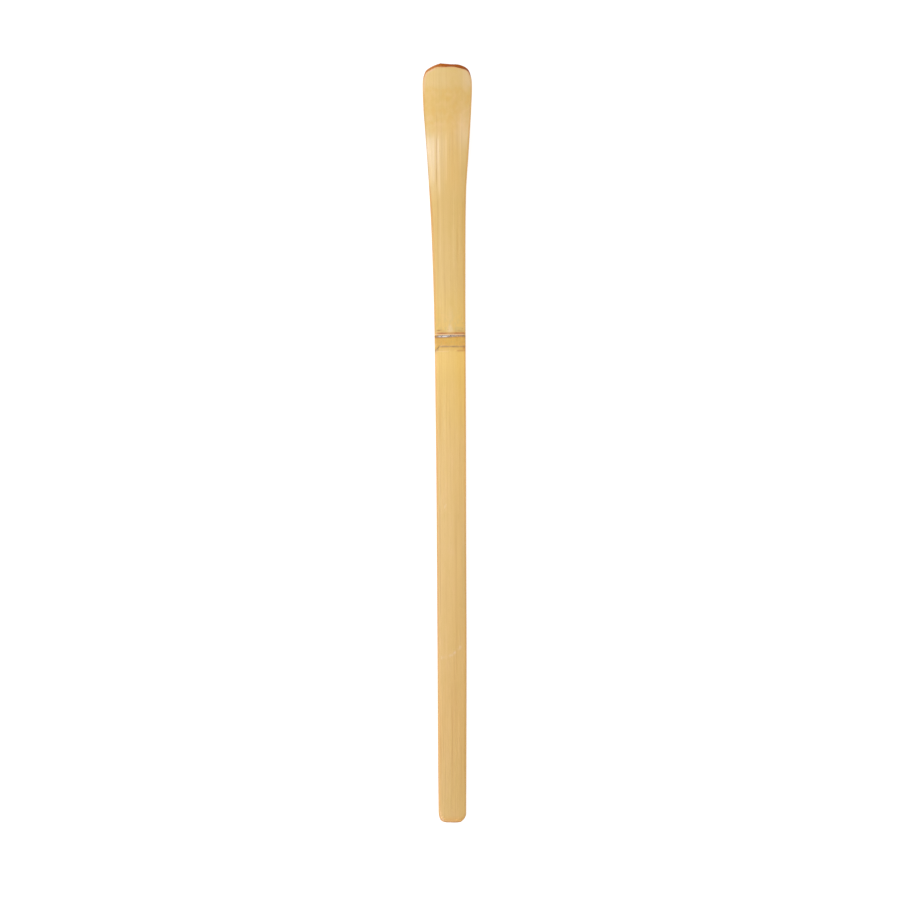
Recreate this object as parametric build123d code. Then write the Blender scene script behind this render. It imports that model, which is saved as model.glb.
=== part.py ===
from build123d import *
import os
from math import sin, cos, tan, radians, sqrt

# Bamboo tea scoop: one split of bamboo culm, carved along its whole length and
# bent upwards with heat at the scoop end. The growth node crosses it a little
# above the middle.
#
# Frame: millimetres, +Z up, origin on the surface that the scoop lies on, in
# the middle of its outline. The scoop lies on its back: outer skin up, butt
# towards -Y, scoop end towards +Y, curling up towards +Z.
#
# The strip is divided where its own substance changes: the hard outer skin,
# the culm flesh under it, the swollen node with the root of its diaphragm, and
# the papery scar of the sheath in the groove of the node.

# ------------------------------------------------------------ dimensions (mm)
HALF_LENGTH = 90.08         # the outline reaches this far each way along Y
CROWN_RADIUS = 45.0         # the skin keeps the roundness of the culm
SKIN = 0.32                 # hard outer skin

# back: flat handle, carved hollow under the node, flat heel, then the bend
HOLLOW_START = 5.0
HOLLOW_TOP = (24.3, 1.05)
HOLLOW_END = 45.0
BEND_START = 58.5
BEND_RADII = (40.0, 28.0, 110.0)      # of the back, from the heel to the tip
BEND_ANGLES = (10.0, 34.0, 39.0)      # slope at the end of each of these arcs
BLADE_THICKNESS = 1.15

# front: it runs level over the heel, climbs to the node, falls to the butt
HEEL_FRONT_RADIUS = 90.0
NECK_SLOPE = 6.5                      # degrees, between heel and node
NECK_RUN = 11.5
SHOULDER_RADIUS = 80.0
HANDLE_SLOPE = 0.55                   # degrees

# node
NODE_LOW = 22.2                       # handle side of the node
NODE_HIGH = 26.55                     # scoop side of the node
NODE_RISE = 0.14                      # how proud the node's skin stands
SCAR_LOW, SCAR_HIGH = 25.45, 26.00    # groove that holds the sheath scar
SCAR_DEPTH = 0.16                     # of the groove, below the node's skin
SCAR_RISE = 0.08                      # of the scar, above the node's skin
DIAPHRAGM_LOW, DIAPHRAGM_HIGH = 23.35, 24.95
DIAPHRAGM_TOP = 1.95

# outline seen from above, butt to scoop end (x, y)
LEFT_EDGE = [
    (-3.18, -87.5), (-3.245, -75.0), (-3.215, -45.0), (-3.205, -18.0), (-3.255, 0.0),
    (-3.36, 19.0), (-3.465, 30.0), (-3.73, 42.0), (-4.045, 52.0), (-4.44, 60.0),
    (-4.965, 69.0), (-5.38, 75.0), (-5.725, 80.0), (-5.85, 84.5), (-5.86, 94.0),
]
RIGHT_EDGE = [
    (3.37, -87.5), (3.51, -75.0), (3.74, -45.0), (3.82, -18.0), (3.91, 0.0),
    (3.95, 19.0), (3.96, 30.0), (4.04, 42.0), (4.13, 52.0), (4.31, 60.0),
    (4.93, 69.0), (5.35, 75.0), (5.66, 80.0), (5.84, 84.5), (5.86, 94.0),
]
BUTT = [
    (3.36, -88.02), (3.33, -88.22), (3.28, -88.47), (3.18, -88.69), (3.05, -88.94),
    (2.90, -89.17), (2.70, -89.41), (2.46, -89.64), (2.20, -89.85), (2.01, -89.95),
    (1.53, -90.03), (1.10, -90.08), (0.55, -90.08), (-1.35, -90.015),
    (-1.75, -89.945), (-2.10, -89.855), (-2.50, -89.62), (-2.80, -89.265),
    (-3.00, -88.76), (-3.14, -88.11),
]
# outline of the tip, measured on the blade: across, and back from the tip
TIP_LEFT = [
    (-6.25, 9.6), (-5.88, 6.3), (-5.80, 5.0), (-5.68, 4.04), (-5.49, 3.30),
    (-5.30, 2.66), (-5.10, 2.24), (-4.82, 1.88), (-4.43, 1.54), (-4.00, 1.21),
    (-3.52, 0.90), (-3.03, 0.63), (-2.52, 0.38), (-2.04, 0.18), (-1.57, 0.0),
]
TIP_RIGHT = [
    (2.18, 0.335), (2.67, 0.40), (3.14, 0.555), (3.60, 0.76), (4.07, 1.03),
    (4.50, 1.34), (4.80, 1.66), (5.05, 2.02), (5.29, 2.55), (5.50, 3.24),
    (5.68, 4.10), (5.80, 5.0), (5.88, 6.2), (6.25, 9.2),
]
TIP_END = [(-1.57, 0.0), (0.80, 0.30), (2.18, 0.335)]


# ----------------------------------------------------------- side profile (YZ)
def arc_points(centre, radius, a0, a1, sign):
    """Three points of an arc whose slope goes from a0 to a1 degrees. A positive
    sign has its centre above the curve, a negative one below it."""
    out = []
    for a in (a0, (a0 + a1) / 2, a1):
        out.append((
            centre[0] + sign * radius * sin(radians(a)),
            centre[1] - sign * radius * cos(radians(a)),
        ))
    return out


def bend(offset):
    """The bend as arcs that lie this far above the back, then the straight tip."""
    arcs, y, z, a = [], BEND_START, 0.0, 0.0
    for r, a1 in zip(BEND_RADII, BEND_ANGLES):
        centre = (y - r * sin(radians(a)), z + r * cos(radians(a)))
        arcs.append(arc_points(centre, r - offset, a, a1, +1))
        y = centre[0] + r * sin(radians(a1))
        z = centre[1] - r * cos(radians(a1))
        a = a1
    return arcs, (y, z), a


back_arcs, back_end, TIP_SLOPE = bend(0.0)
tip_back = (HALF_LENGTH, back_end[1] + (HALF_LENGTH - back_end[0]) * tan(radians(TIP_SLOPE)))
TANGENT = (cos(radians(TIP_SLOPE)), sin(radians(TIP_SLOPE)))
NORMAL = (-sin(radians(TIP_SLOPE)), cos(radians(TIP_SLOPE)))

front_arcs, _, _ = bend(BLADE_THICKNESS)
front_end = front_arcs[-1][2]

# from the heel back to the butt
heel = (BEND_START, BLADE_THICKNESS)
heel_centre = (heel[0], heel[1] + HEEL_FRONT_RADIUS)
heel_arc = arc_points(heel_centre, HEEL_FRONT_RADIUS, -NECK_SLOPE, 0.0, +1)
neck = (
    heel_arc[0][0] - NECK_RUN * cos(radians(NECK_SLOPE)),
    heel_arc[0][1] + NECK_RUN * sin(radians(NECK_SLOPE)),
)
shoulder_centre = (
    neck[0] - SHOULDER_RADIUS * sin(radians(NECK_SLOPE)),
    neck[1] - SHOULDER_RADIUS * cos(radians(NECK_SLOPE)),
)
shoulder_arc = arc_points(shoulder_centre, SHOULDER_RADIUS, HANDLE_SLOPE, -NECK_SLOPE, -1)
shoulder = shoulder_arc[0]
butt_y = -HALF_LENGTH - 4.0
butt_front = (butt_y, shoulder[1] - (shoulder[0] - butt_y) * tan(radians(HANDLE_SLOPE)))
beyond = 6.0
front_tip = (front_end[0] + (beyond + 6) * TANGENT[0], front_end[1] + (beyond + 6) * TANGENT[1])


def yz(p):
    return (0.0, p[0], p[1])


front_path = Wire([
    Edge.make_line(yz(butt_front), yz(shoulder)),
    Edge.make_three_point_arc(*[yz(p) for p in shoulder_arc]),
    Edge.make_line(yz(neck), yz(heel_arc[0])),
    Edge.make_three_point_arc(*[yz(p) for p in heel_arc]),
    Edge.make_three_point_arc(*[yz(p) for p in front_arcs[0]]),
    Edge.make_three_point_arc(*[yz(p) for p in front_arcs[1]]),
    Edge.make_three_point_arc(*[yz(p) for p in front_arcs[2]]),
    Edge.make_line(yz(front_end), yz(front_tip)),
])


def crowned(drop, depth=9.0, half=8.0):
    """A block under the crowned front, its top lowered by drop."""
    r = CROWN_RADIUS - drop
    sag = r - sqrt(r * r - half * half)
    start = Vector(*yz(butt_front))
    along = Vector(0, cos(radians(HANDLE_SLOPE)), sin(radians(HANDLE_SLOPE)))
    up = Vector(0, -sin(radians(HANDLE_SLOPE)), cos(radians(HANDLE_SLOPE)))
    side = Vector(1, 0, 0)

    def at(x, h):
        return start + side * x + up * h

    top = Edge.make_three_point_arc(at(-half, -drop - sag), at(0, -drop), at(half, -drop - sag))
    right = Edge.make_line(at(half, -drop - sag), at(half, -depth))
    low = Edge.make_line(at(half, -depth), at(-half, -depth))
    left = Edge.make_line(at(-half, -depth), at(-half, -drop - sag))
    face = Face(Wire([top, right, low, left]))
    return Solid.sweep(face, path=front_path)


# ------------------------------------------------------------- the whole strip
def side_prism():
    """Everything above the back and short of the tip's end face."""
    p_end = (tip_back[0] + 14 * NORMAL[0], tip_back[1] + 14 * NORMAL[1])
    edges = [
        Edge.make_line(yz((butt_y - 1, 0)), yz((HOLLOW_START, 0))),
        Edge.make_spline(
            [Vector(*yz((HOLLOW_START, 0))), Vector(*yz(HOLLOW_TOP)), Vector(*yz((HOLLOW_END, 0)))],
            tangents=[Vector(0, 1, 0), Vector(0, 1, 0)],
        ),
        Edge.make_line(yz((HOLLOW_END, 0)), yz((BEND_START, 0))),
        *[Edge.make_three_point_arc(*[yz(p) for p in a]) for a in back_arcs],
        Edge.make_line(yz(back_end), yz(tip_back)),
        Edge.make_line(yz(tip_back), yz(p_end)),
        Edge.make_line(yz(p_end), yz((butt_y - 1, p_end[1]))),
        Edge.make_line(yz((butt_y - 1, p_end[1])), yz((butt_y - 1, 0))),
    ]
    face = Face(Wire(edges))
    return extrude(face, amount=12, dir=(1, 0, 0), both=True)


def plan_prism():
    """The outline seen from above, with the rounded corners of the butt."""
    left = Edge.make_spline([Vector(x, y, -5) for x, y in LEFT_EDGE])
    right = Edge.make_spline([Vector(x, y, -5) for x, y in RIGHT_EDGE])
    far = Edge.make_line((*LEFT_EDGE[-1], -5), (*RIGHT_EDGE[-1], -5))
    ring = [RIGHT_EDGE[0], *BUTT, LEFT_EDGE[0]]
    corner = [Edge.make_line((*a, -5), (*b, -5)) for a, b in zip(ring, ring[1:])]
    return extrude(Face(Wire([left, far, right, *corner])), amount=40, dir=(0, 0, 1))


def tip_prism():
    """The rounded outline of the tip, cut square to the blade."""
    def at(x, w):
        return Vector(
            x,
            tip_back[0] - w * TANGENT[0] - 8 * NORMAL[0],
            tip_back[1] - w * TANGENT[1] - 8 * NORMAL[1],
        )

    edges = [
        Edge.make_spline([at(x, w) for x, w in TIP_LEFT]),
        *[Edge.make_line(at(*a), at(*b)) for a, b in zip(TIP_END, TIP_END[1:])],
        Edge.make_spline([at(x, w) for x, w in TIP_RIGHT]),
        Edge.make_line(at(*TIP_RIGHT[-1]), at(9, 14)),
        Edge.make_line(at(9, 14), at(9, 200)),
        Edge.make_line(at(9, 200), at(-9, 200)),
        Edge.make_line(at(-9, 200), at(-9, 14)),
        Edge.make_line(at(-9, 14), at(*TIP_LEFT[0])),
    ]
    return extrude(Face(Wire(edges)), amount=170, dir=(0, NORMAL[0], NORMAL[1]))


def slab(y0, y1, z0=-20.0, z1=40.0):
    """A block across the whole width between two heights of the culm."""
    return Pos(0, (y0 + y1) / 2, (z0 + z1) / 2) * Box(30, y1 - y0, z1 - z0)


under_skin = crowned(SKIN)
to_front = crowned(0.0)
to_node_front = crowned(-NODE_RISE)
to_scar_front = crowned(-NODE_RISE - SCAR_RISE)
to_scar_floor = crowned(-NODE_RISE + SCAR_DEPTH)

blank = side_prism() & plan_prism()
blade_zone = slab(NODE_HIGH, 120)
node_zone = slab(NODE_LOW, NODE_HIGH)
handle_zone = slab(-120, NODE_LOW)
scar_zone = slab(SCAR_LOW, SCAR_HIGH)

blade_blank = (blank & blade_zone) & tip_prism()
node_blank = blank & node_zone
handle_blank = blank & handle_zone

blade_flesh = blade_blank & under_skin
blade_skin = (blade_blank & to_front) - under_skin

handle_flesh = handle_blank & under_skin
handle_skin = (handle_blank & to_front) - under_skin

diaphragm_block = fillet(
    slab(DIAPHRAGM_LOW, DIAPHRAGM_HIGH, -3.0, DIAPHRAGM_TOP).edges().filter_by(Axis.X).group_by(Axis.Z)[-1],
    0.6,
)
node_core = node_blank & under_skin
node_diaphragm = node_core & diaphragm_block
node_flesh = node_core - diaphragm_block
groove = scar_zone - to_scar_floor
node_skin = ((node_blank & to_node_front) - under_skin) - groove
sheath_scar = (node_blank & scar_zone & to_scar_front) - to_scar_floor

# --------------------------------------------------------------------- output
os.makedirs("parts", exist_ok=True)
for name, shape in {
    "blade_flesh": blade_flesh,
    "blade_skin": blade_skin,
    "node_flesh": node_flesh,
    "node_diaphragm": node_diaphragm,
    "node_skin": node_skin,
    "sheath_scar": sheath_scar,
    "handle_flesh": handle_flesh,
    "handle_skin": handle_skin,
}.items():
    shape.label = name
    export_step(shape, "parts/" + name + ".step")
    bb = shape.bounding_box()
    print(name, len(shape.solids()), round(shape.volume, 3),
          [round(v, 2) for v in (bb.min.X, bb.min.Y, bb.min.Z, bb.max.X, bb.max.Y, bb.max.Z)])
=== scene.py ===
import math
import bpy
import numpy as np
from mathutils import Matrix, Vector


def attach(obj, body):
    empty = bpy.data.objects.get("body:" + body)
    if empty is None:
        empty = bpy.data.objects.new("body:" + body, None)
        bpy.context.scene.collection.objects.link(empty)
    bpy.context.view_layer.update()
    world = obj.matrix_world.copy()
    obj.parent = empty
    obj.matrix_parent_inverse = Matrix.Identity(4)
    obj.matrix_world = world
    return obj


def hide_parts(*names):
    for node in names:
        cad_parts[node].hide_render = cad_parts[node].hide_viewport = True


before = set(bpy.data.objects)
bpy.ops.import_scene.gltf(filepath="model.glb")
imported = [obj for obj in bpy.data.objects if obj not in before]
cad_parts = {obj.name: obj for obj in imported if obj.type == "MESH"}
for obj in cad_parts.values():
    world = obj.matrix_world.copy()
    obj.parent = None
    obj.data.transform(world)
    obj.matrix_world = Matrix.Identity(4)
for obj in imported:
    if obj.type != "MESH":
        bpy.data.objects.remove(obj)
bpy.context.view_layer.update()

# All lengths below are in millimetres. A point of the strip is given as
# (x, s, h): across, along the front's centre line, and above that line along
# its own normal. s is measured from the middle of the scoop towards its tip.
MM = 0.001

# ------------------------------------------------------------------ dimensions
HALF_LENGTH = 90.08
CROWN = 45.0
SKIN = 0.32
HOLLOW_START, HOLLOW_TOP, HOLLOW_END = 5.0, (24.3, 1.05), 45.0
BEND_START = 58.5
BEND_RADII = (40.0, 28.0, 110.0)
BEND_ANGLES = (10.0, 34.0, 39.0)
BLADE = 1.15
HEEL_RADIUS, NECK_SLOPE, NECK_RUN = 90.0, 6.5, 11.5
SHOULDER_RADIUS, HANDLE_SLOPE = 80.0, 0.55
NODE_LOW, NODE_HIGH = 22.2, 26.55
SCAR_LOW, SCAR_HIGH = 25.45, 26.00
DIA_LOW, DIA_HIGH, DIA_TOP = 23.35, 24.95, 1.95

LEFT_EDGE = [
    (-3.18, -87.5), (-3.245, -75.0), (-3.215, -45.0), (-3.205, -18.0), (-3.255, 0.0),
    (-3.36, 19.0), (-3.465, 30.0), (-3.73, 42.0), (-4.045, 52.0), (-4.44, 60.0),
    (-4.965, 69.0), (-5.38, 75.0), (-5.725, 80.0), (-5.85, 84.5), (-5.86, 94.0),
]
RIGHT_EDGE = [
    (3.37, -87.5), (3.51, -75.0), (3.74, -45.0), (3.82, -18.0), (3.91, 0.0),
    (3.95, 19.0), (3.96, 30.0), (4.04, 42.0), (4.13, 52.0), (4.31, 60.0),
    (4.93, 69.0), (5.35, 75.0), (5.66, 80.0), (5.84, 84.5), (5.86, 94.0),
]
# (distance from the outermost point of that end, x)
TIP_LEFT = [(0.0, -1.57), (0.18, -2.04), (0.38, -2.52), (0.63, -3.03), (0.90, -3.52), (1.21, -4.00),
            (1.54, -4.43), (1.88, -4.82), (2.24, -5.10), (2.66, -5.30), (3.30, -5.49), (4.04, -5.68),
            (5.0, -5.80), (6.3, -5.88), (9.6, -6.25)]
TIP_RIGHT = [(0.335, 2.18), (0.40, 2.67), (0.555, 3.14), (0.76, 3.60), (1.03, 4.07), (1.34, 4.50),
             (1.66, 4.80), (2.02, 5.05), (2.55, 5.29), (3.24, 5.50), (4.10, 5.68), (5.0, 5.80),
             (6.2, 5.88), (9.2, 6.25)]
BUTT_LEFT = [(0.065, -1.35), (0.135, -1.75), (0.225, -2.10), (0.46, -2.50), (0.815, -2.80),
             (1.32, -3.00), (1.97, -3.14), (2.61, -3.18), (4.6, -3.5)]
BUTT_RIGHT = [(0.0, 1.10), (0.05, 1.53), (0.13, 2.01), (0.23, 2.20), (0.44, 2.46), (0.67, 2.70),
              (0.91, 2.90), (1.14, 3.05), (1.39, 3.18), (1.61, 3.28), (1.86, 3.33), (2.06, 3.36),
              (2.61, 3.37), (4.6, 3.8)]
# neither end is quite square: how far it falls back at each x
TIP_END = ([-1.57, 0.80, 2.18], [0.0, 0.30, 0.335])
BUTT_END = ([-1.35, 0.55], [0.065, 0.0])
TIP_FADE, BUTT_FADE = (0.3, 3.0), (0.2, 2.0)


# ---------------------------------------------------------------------- curves
def pchip(points):
    """A smooth curve through (t, v) points that never overshoots them."""
    t = np.array([p[0] for p in points], float)
    v = np.array([p[1] for p in points], float)
    h = np.diff(t)
    d = np.diff(v) / h
    m = np.zeros(len(t))
    for i in range(1, len(t) - 1):
        if d[i - 1] * d[i] > 0:
            w1, w2 = 2 * h[i] + h[i - 1], h[i] + 2 * h[i - 1]
            m[i] = (w1 + w2) / (w1 / d[i - 1] + w2 / d[i])
    m[0], m[-1] = d[0], d[-1]

    def f(q):
        q = np.clip(np.asarray(q, float), t[0], t[-1])
        i = np.clip(np.searchsorted(t, q) - 1, 0, len(t) - 2)
        u = (q - t[i]) / h[i]
        return ((1 + 2 * u) * (1 - u) ** 2 * v[i] + u * (1 - u) ** 2 * h[i] * m[i]
                + u * u * (3 - 2 * u) * v[i + 1] + u * u * (u - 1) * h[i] * m[i + 1])
    return f


def smooth(a, b, q):
    u = np.clip((np.asarray(q, float) - a) / (b - a), 0, 1)
    return u * u * (3 - 2 * u)


def rad(a):
    return math.radians(a)


def front_segments():
    """The front's centre line from butt to tip as straight and round pieces:
    (length, start y, start z, start slope, end slope)."""
    a_h, a_n = rad(HANDLE_SLOPE), rad(-NECK_SLOPE)
    heel = (BEND_START, BLADE)
    heel0 = (heel[0] - HEEL_RADIUS * math.sin(-a_n), heel[1] + HEEL_RADIUS * (1 - math.cos(a_n)))
    neck = (heel0[0] - NECK_RUN * math.cos(a_n), heel0[1] - NECK_RUN * math.sin(a_n))
    c = (neck[0] + SHOULDER_RADIUS * math.sin(a_n), neck[1] - SHOULDER_RADIUS * math.cos(a_n))
    shoulder = (c[0] - SHOULDER_RADIUS * math.sin(a_h), c[1] + SHOULDER_RADIUS * math.cos(a_h))
    y0 = -HALF_LENGTH
    z0 = shoulder[1] - (shoulder[0] - y0) * math.tan(a_h)
    segs = [((shoulder[0] - y0) / math.cos(a_h), y0, z0, a_h, a_h),
            (SHOULDER_RADIUS * (a_h - a_n), shoulder[0], shoulder[1], a_h, a_n),
            (NECK_RUN, neck[0], neck[1], a_n, a_n),
            (HEEL_RADIUS * (-a_n), heel0[0], heel0[1], a_n, 0.0)]
    y, z, a, yb, zb = heel[0], heel[1], 0.0, BEND_START, 0.0
    for r, deg in zip(BEND_RADII, BEND_ANGLES):
        a1 = rad(deg)
        rf = r - BLADE
        segs.append((rf * (a1 - a), y, z, a, a1))
        y += rf * (math.sin(a1) - math.sin(a))
        z += rf * (math.cos(a) - math.cos(a1))
        yb += r * (math.sin(a1) - math.sin(a))
        zb += r * (math.cos(a) - math.cos(a1))
        a = a1
    run = (HALF_LENGTH - yb) / math.cos(a)
    segs.append((run, y, z, a, a))
    return segs


SEGS = front_segments()
STARTS = np.concatenate([[0.0], np.cumsum([g[0] for g in SEGS])])
# s is zero where y is zero, and the handle is straight there
S_SHIFT = HALF_LENGTH / math.cos(rad(HANDLE_SLOPE))
S_BUTT, S_TIP = -S_SHIFT, STARTS[-1] - S_SHIFT


def path(s):
    """(y, z, slope) of the front's centre line."""
    q = np.asarray(s, float) + S_SHIFT
    i = np.clip(np.searchsorted(STARTS, q, side="right") - 1, 0, len(SEGS) - 1)
    g = np.array(SEGS)
    L, y0, z0, a0, a1 = (g[i, k] for k in range(5))
    u = q - STARTS[i]
    k = (a1 - a0) / L
    a = a0 + k * u
    straight = np.abs(k) < 1e-9
    kk = np.where(straight, 1.0, k)
    y = np.where(straight, y0 + u * np.cos(a0), y0 + (np.sin(a) - np.sin(a0)) / kk)
    z = np.where(straight, z0 + u * np.sin(a0), z0 + (np.cos(a0) - np.cos(a)) / kk)
    return y, z, a


def back_height(y):
    """Height of the back above the floor, short of the bend."""
    yt, top = HOLLOW_TOP
    return top * np.where(y < yt, smooth(HOLLOW_START, yt, y), 1 - smooth(yt, HOLLOW_END, y))


def thickness(s):
    y, z, a = path(s)
    t = z / np.cos(a)
    for _ in range(8):
        t = (z - back_height(y + t * np.sin(a))) / np.cos(a)
    return np.where(y > BEND_START, BLADE, t)


def chamfer(x, s, h):
    """The end face isn't quite square to the blade: how far its front edge falls
    back at each x, fading towards the back and away from the end."""
    e = np.interp(x, [-4.4, -3.6, -3.1, -2.5, -2.16, -1.69, -1.22, -0.75, -0.27, 0.2, 0.7, 1.1, 1.6, 2.1, 2.5, 3.0, 3.5, 4.0, 4.6],
                  [0.0, -0.30, -0.10, -0.02, 0.03, 0.21, 0.20, 0.115, 0.08, -0.07, -0.12, -0.13, -0.10, 0.04, 0.18, 0.20, 0.20, 0.10, 0.0])
    w = S_TIP - s - np.interp(x, [2.1, 2.55, 3.02, 3.5, 3.97, 4.4], [0.0, 0.10, 0.25, 0.5, 0.8, 1.2])
    return e * (1 - smooth(0.1, 1.2, w)) * np.clip(1 + h / BLADE, 0, 1)


def place(x, s, h):
    """Row-frame coordinates in metres."""
    s = s - chamfer(x, s, h)
    y, z, a = path(s)
    return np.stack([x, y - h * np.sin(a), z + h * np.cos(a)], -1) * MM


# The outline against s, from the one against y.
left_of_y = pchip([(y, x) for x, y in LEFT_EDGE])
right_of_y = pchip([(y, x) for x, y in RIGHT_EDGE])


def straightened(points, end, fade):
    """An end's outline before skew() below."""
    out = []
    for w, x in points:
        q = w
        for _ in range(40):
            q = w - np.interp(x, *end) * (1 - smooth(*fade, q))
        out.append((float(q), x))
    return out


tip_left = pchip(straightened(TIP_LEFT, TIP_END, TIP_FADE))
tip_right = pchip(straightened(TIP_RIGHT, TIP_END, TIP_FADE))
butt_left = pchip(straightened(BUTT_LEFT, BUTT_END, BUTT_FADE))
butt_right = pchip(straightened(BUTT_RIGHT, BUTT_END, BUTT_FADE))


def outline(s):
    s = np.asarray(s, float)
    y, z, a = path(s)
    y = y + 0.5 * thickness(s) * np.sin(a)
    w, b = S_TIP - s, s - S_BUTT
    lo = np.maximum(np.maximum(left_of_y(y), tip_left(w)), np.where(b < 4.5, butt_left(b), -9))
    hi = np.minimum(np.minimum(right_of_y(y), tip_right(w)), np.where(b < 4.5, butt_right(b), 9))
    return lo, hi


def skew(x, s):
    """Moves the rows near both ends so that these slope as they should."""
    at_tip = np.interp(x, *TIP_END) * (1 - smooth(*TIP_FADE, S_TIP - s))
    at_butt = np.interp(x, *BUTT_END) * (1 - smooth(*BUTT_FADE, s - S_BUTT))
    return s - at_tip + at_butt


# ----------------------------------------------------------------------- noise
def _hash(ix, iy, seed):
    n = (ix.astype(np.int64) * 374761393 + iy.astype(np.int64) * 668265263 + seed * 69069123) & 0xFFFFFFFF
    n = ((n ^ (n >> 13)) * 1274126177) & 0xFFFFFFFF
    n = n ^ (n >> 16)
    return n / 2147483647.5 - 1.0


def noise(x, y, seed):
    """Smooth noise from -1 to 1 with a cell of one unit."""
    x, y = np.broadcast_arrays(np.asarray(x, float), np.asarray(y, float))
    x0, y0 = np.floor(x), np.floor(y)
    u, v = x - x0, y - y0
    u, v = u * u * (3 - 2 * u), v * v * (3 - 2 * v)
    a = _hash(x0, y0, seed) * (1 - u) + _hash(x0 + 1, y0, seed) * u
    b = _hash(x0, y0 + 1, seed) * (1 - u) + _hash(x0 + 1, y0 + 1, seed) * u
    return a * (1 - v) + b * v


# Single fibre lines that can be told apart: (x, from, to, half width, depth).
# A positive depth is a groove, a negative one a ridge.
LINES = [
    (-2.68, 61.8, 74.0, 0.050, 1.05), (-2.68, 58.0, 66.0, 0.055, 0.25), (-1.50, 60.0, 73.0, 0.11, 0.30),
    # the broad ridges at -2.10 and -3.40 on the left of the bend are partly painted sheen: their paler colour brightens
    # it there
    (-2.10, 59.5, 75.0, 0.30, -0.62), (-3.40, 61.5, 76.0, 0.40, -0.4), (-0.40, 62.0, 75.0, 0.18, -0.45),
    (0.42, 66.0, 73.0, 0.13, 0.35), (-2.42, 40.0, 60.0, 0.14, 0.45), (-1.90, 44.0, 62.0, 0.14, -0.25),
    (-1.16, 38.0, 57.0, 0.12, 0.25), (-0.30, 40.0, 58.0, 0.13, -0.22), (0.58, 40.0, 60.0, 0.12, 0.22),
    (-3.40, 42.0, 56.0, 0.13, 0.4), (1.24, 42.0, 60.0, 0.12, -0.2), (-0.95, 26.8, 42.0, 0.13, 0.22),
    (0.16, 27.0, 40.0, 0.13, -0.22), (2.30, 62.0, 80.0, 0.12, 0.22), (3.15, 66.0, 81.0, 0.14, -0.2),
    (-4.45, 69.0, 81.0, 0.09, 0.22), (-3.95, 66.0, 80.0, 0.08, 0.18), (-3.05, 66.0, 82.0, 0.08, 0.15), (-2.62, 76.0, 80.0, 0.14, 0.22),
    (-2.18, -13.0, 10.0, 0.12, 0.30), (-2.56, -9.0, 3.0, 0.11, -0.45), (-1.80, 0.0, 21.0, 0.13, -0.25), (-0.68, -8.0, 21.0, 0.12, 0.22),
    (-0.38, -12.0, 9.0, 0.12, -0.25), (2.68, -6.0, 14.0, 0.14, -0.3), (0.24, -14.0, 10.0, 0.12, 0.2),
    (-2.40, -42.0, -14.0, 0.13, 0.4), (-2.70, -27.0, -13.0, 0.12, -0.4), (-2.12, -42.0, -27.0, 0.13, -0.35),
    (-0.70, -44.0, -28.0, 0.12, -0.22), (1.40, -56.0, -42.0, 0.12, 0.25), (-1.52, -86.0, -44.0, 0.13, 0.25),
    (-1.04, -57.0, -42.0, 0.12, -0.22), (0.98, -72.0, -56.0, 0.12, 0.22), (1.84, -86.0, -68.0, 0.12, 0.18),
    (-2.66, -87.0, -57.0, 0.13, 0.3), (0.52, -72.0, -54.0, 0.12, -0.2), (1.08, -56.0, -40.0, 0.12, -0.2),
]


def lines(x, s):
    x, s = np.broadcast_arrays(np.asarray(x, float), np.asarray(s, float))
    out = np.zeros(x.shape)
    for i, (x0, s0, s1, w, depth) in enumerate(LINES):
        use = (s > s0 - 3) & (s < s1 + 3)
        if use.any():
            xs, ss = x[use], s[use]
            centre = x0 + 0.06 * noise(ss / 9.0, i + 0.5, 30)
            fade = smooth(s0 - 1.5, s0 + 2.5, ss) * (1 - smooth(s1 - 2.5, s1 + 1.5, ss))
            out[use] += depth * fade * np.exp(-((xs - centre) / w) ** 2)
    return out


def ridges(x, s, seed=1):
    """Fibre bundles that show under the skin, from -1 to 1."""
    return (0.50 * noise(x / 0.42, s / 26, seed) + 0.32 * noise(x / 0.23, s / 12, seed + 1)
            + 0.18 * noise(x / 0.14, s / 6, seed + 3))


def fibres(x, s, seed=1):
    """Their relief, which is fainter on the scoop."""
    calm = 1 - 0.62 * smooth(73, 79, s)
    return calm * (0.0075 * ridges(x, s, seed) + 0.008 * noise(x / 0.95, s / 45, seed + 2)) - 0.009 * lines(x, s)


# --------------------------------------------------------------- surface relief
def rim_distance(x, s):
    """Distance from the strip's outline, measured on its surface."""
    lo, hi = outline(s)
    d = np.minimum(x - lo, hi - x)
    d = np.where(S_TIP - s < 6, 9.0, d)
    for end, sign in ((S_TIP, -1), (S_BUTT, 1)):
        near = np.abs(s - end) < 7.5
        if not near.any():
            continue
        q = end + sign * np.concatenate([np.linspace(0, 1, 60) ** 1.5 * 2.0, np.linspace(2.05, 8.5, 60)])
        l, r = outline(q)
        m = np.linspace(l[0], r[0], 24)[1:-1]
        line = np.concatenate([np.stack([l, skew(l, q)], -1)[::-1], np.stack([m, skew(m, end + 0 * m)], -1),
                               np.stack([r, skew(r, q)], -1)])
        a, b = line[:-1], line[1:]
        p = np.stack([x[near], s[near]], -1)
        best = np.full(len(p), 1e9)
        for a0, b0 in zip(a, b):
            v = b0 - a0
            t = np.clip(((p - a0) @ v) / (v @ v + 1e-12), 0, 1)
            best = np.minimum(best, np.hypot(*(p - a0 - t[:, None] * v).T))
        d[near] = np.minimum(d[near], best)
    return np.maximum(d, 0)


def crown(x):
    return -(CROWN - np.sqrt(CROWN * CROWN - x * x))


def under_skin(x):
    r = CROWN - SKIN
    return -SKIN - (r - np.sqrt(r * r - x * x))


def bevel(d, width, drop, power=1.3):
    return drop * np.clip(1 - d / width, 0, 1) ** power


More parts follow.
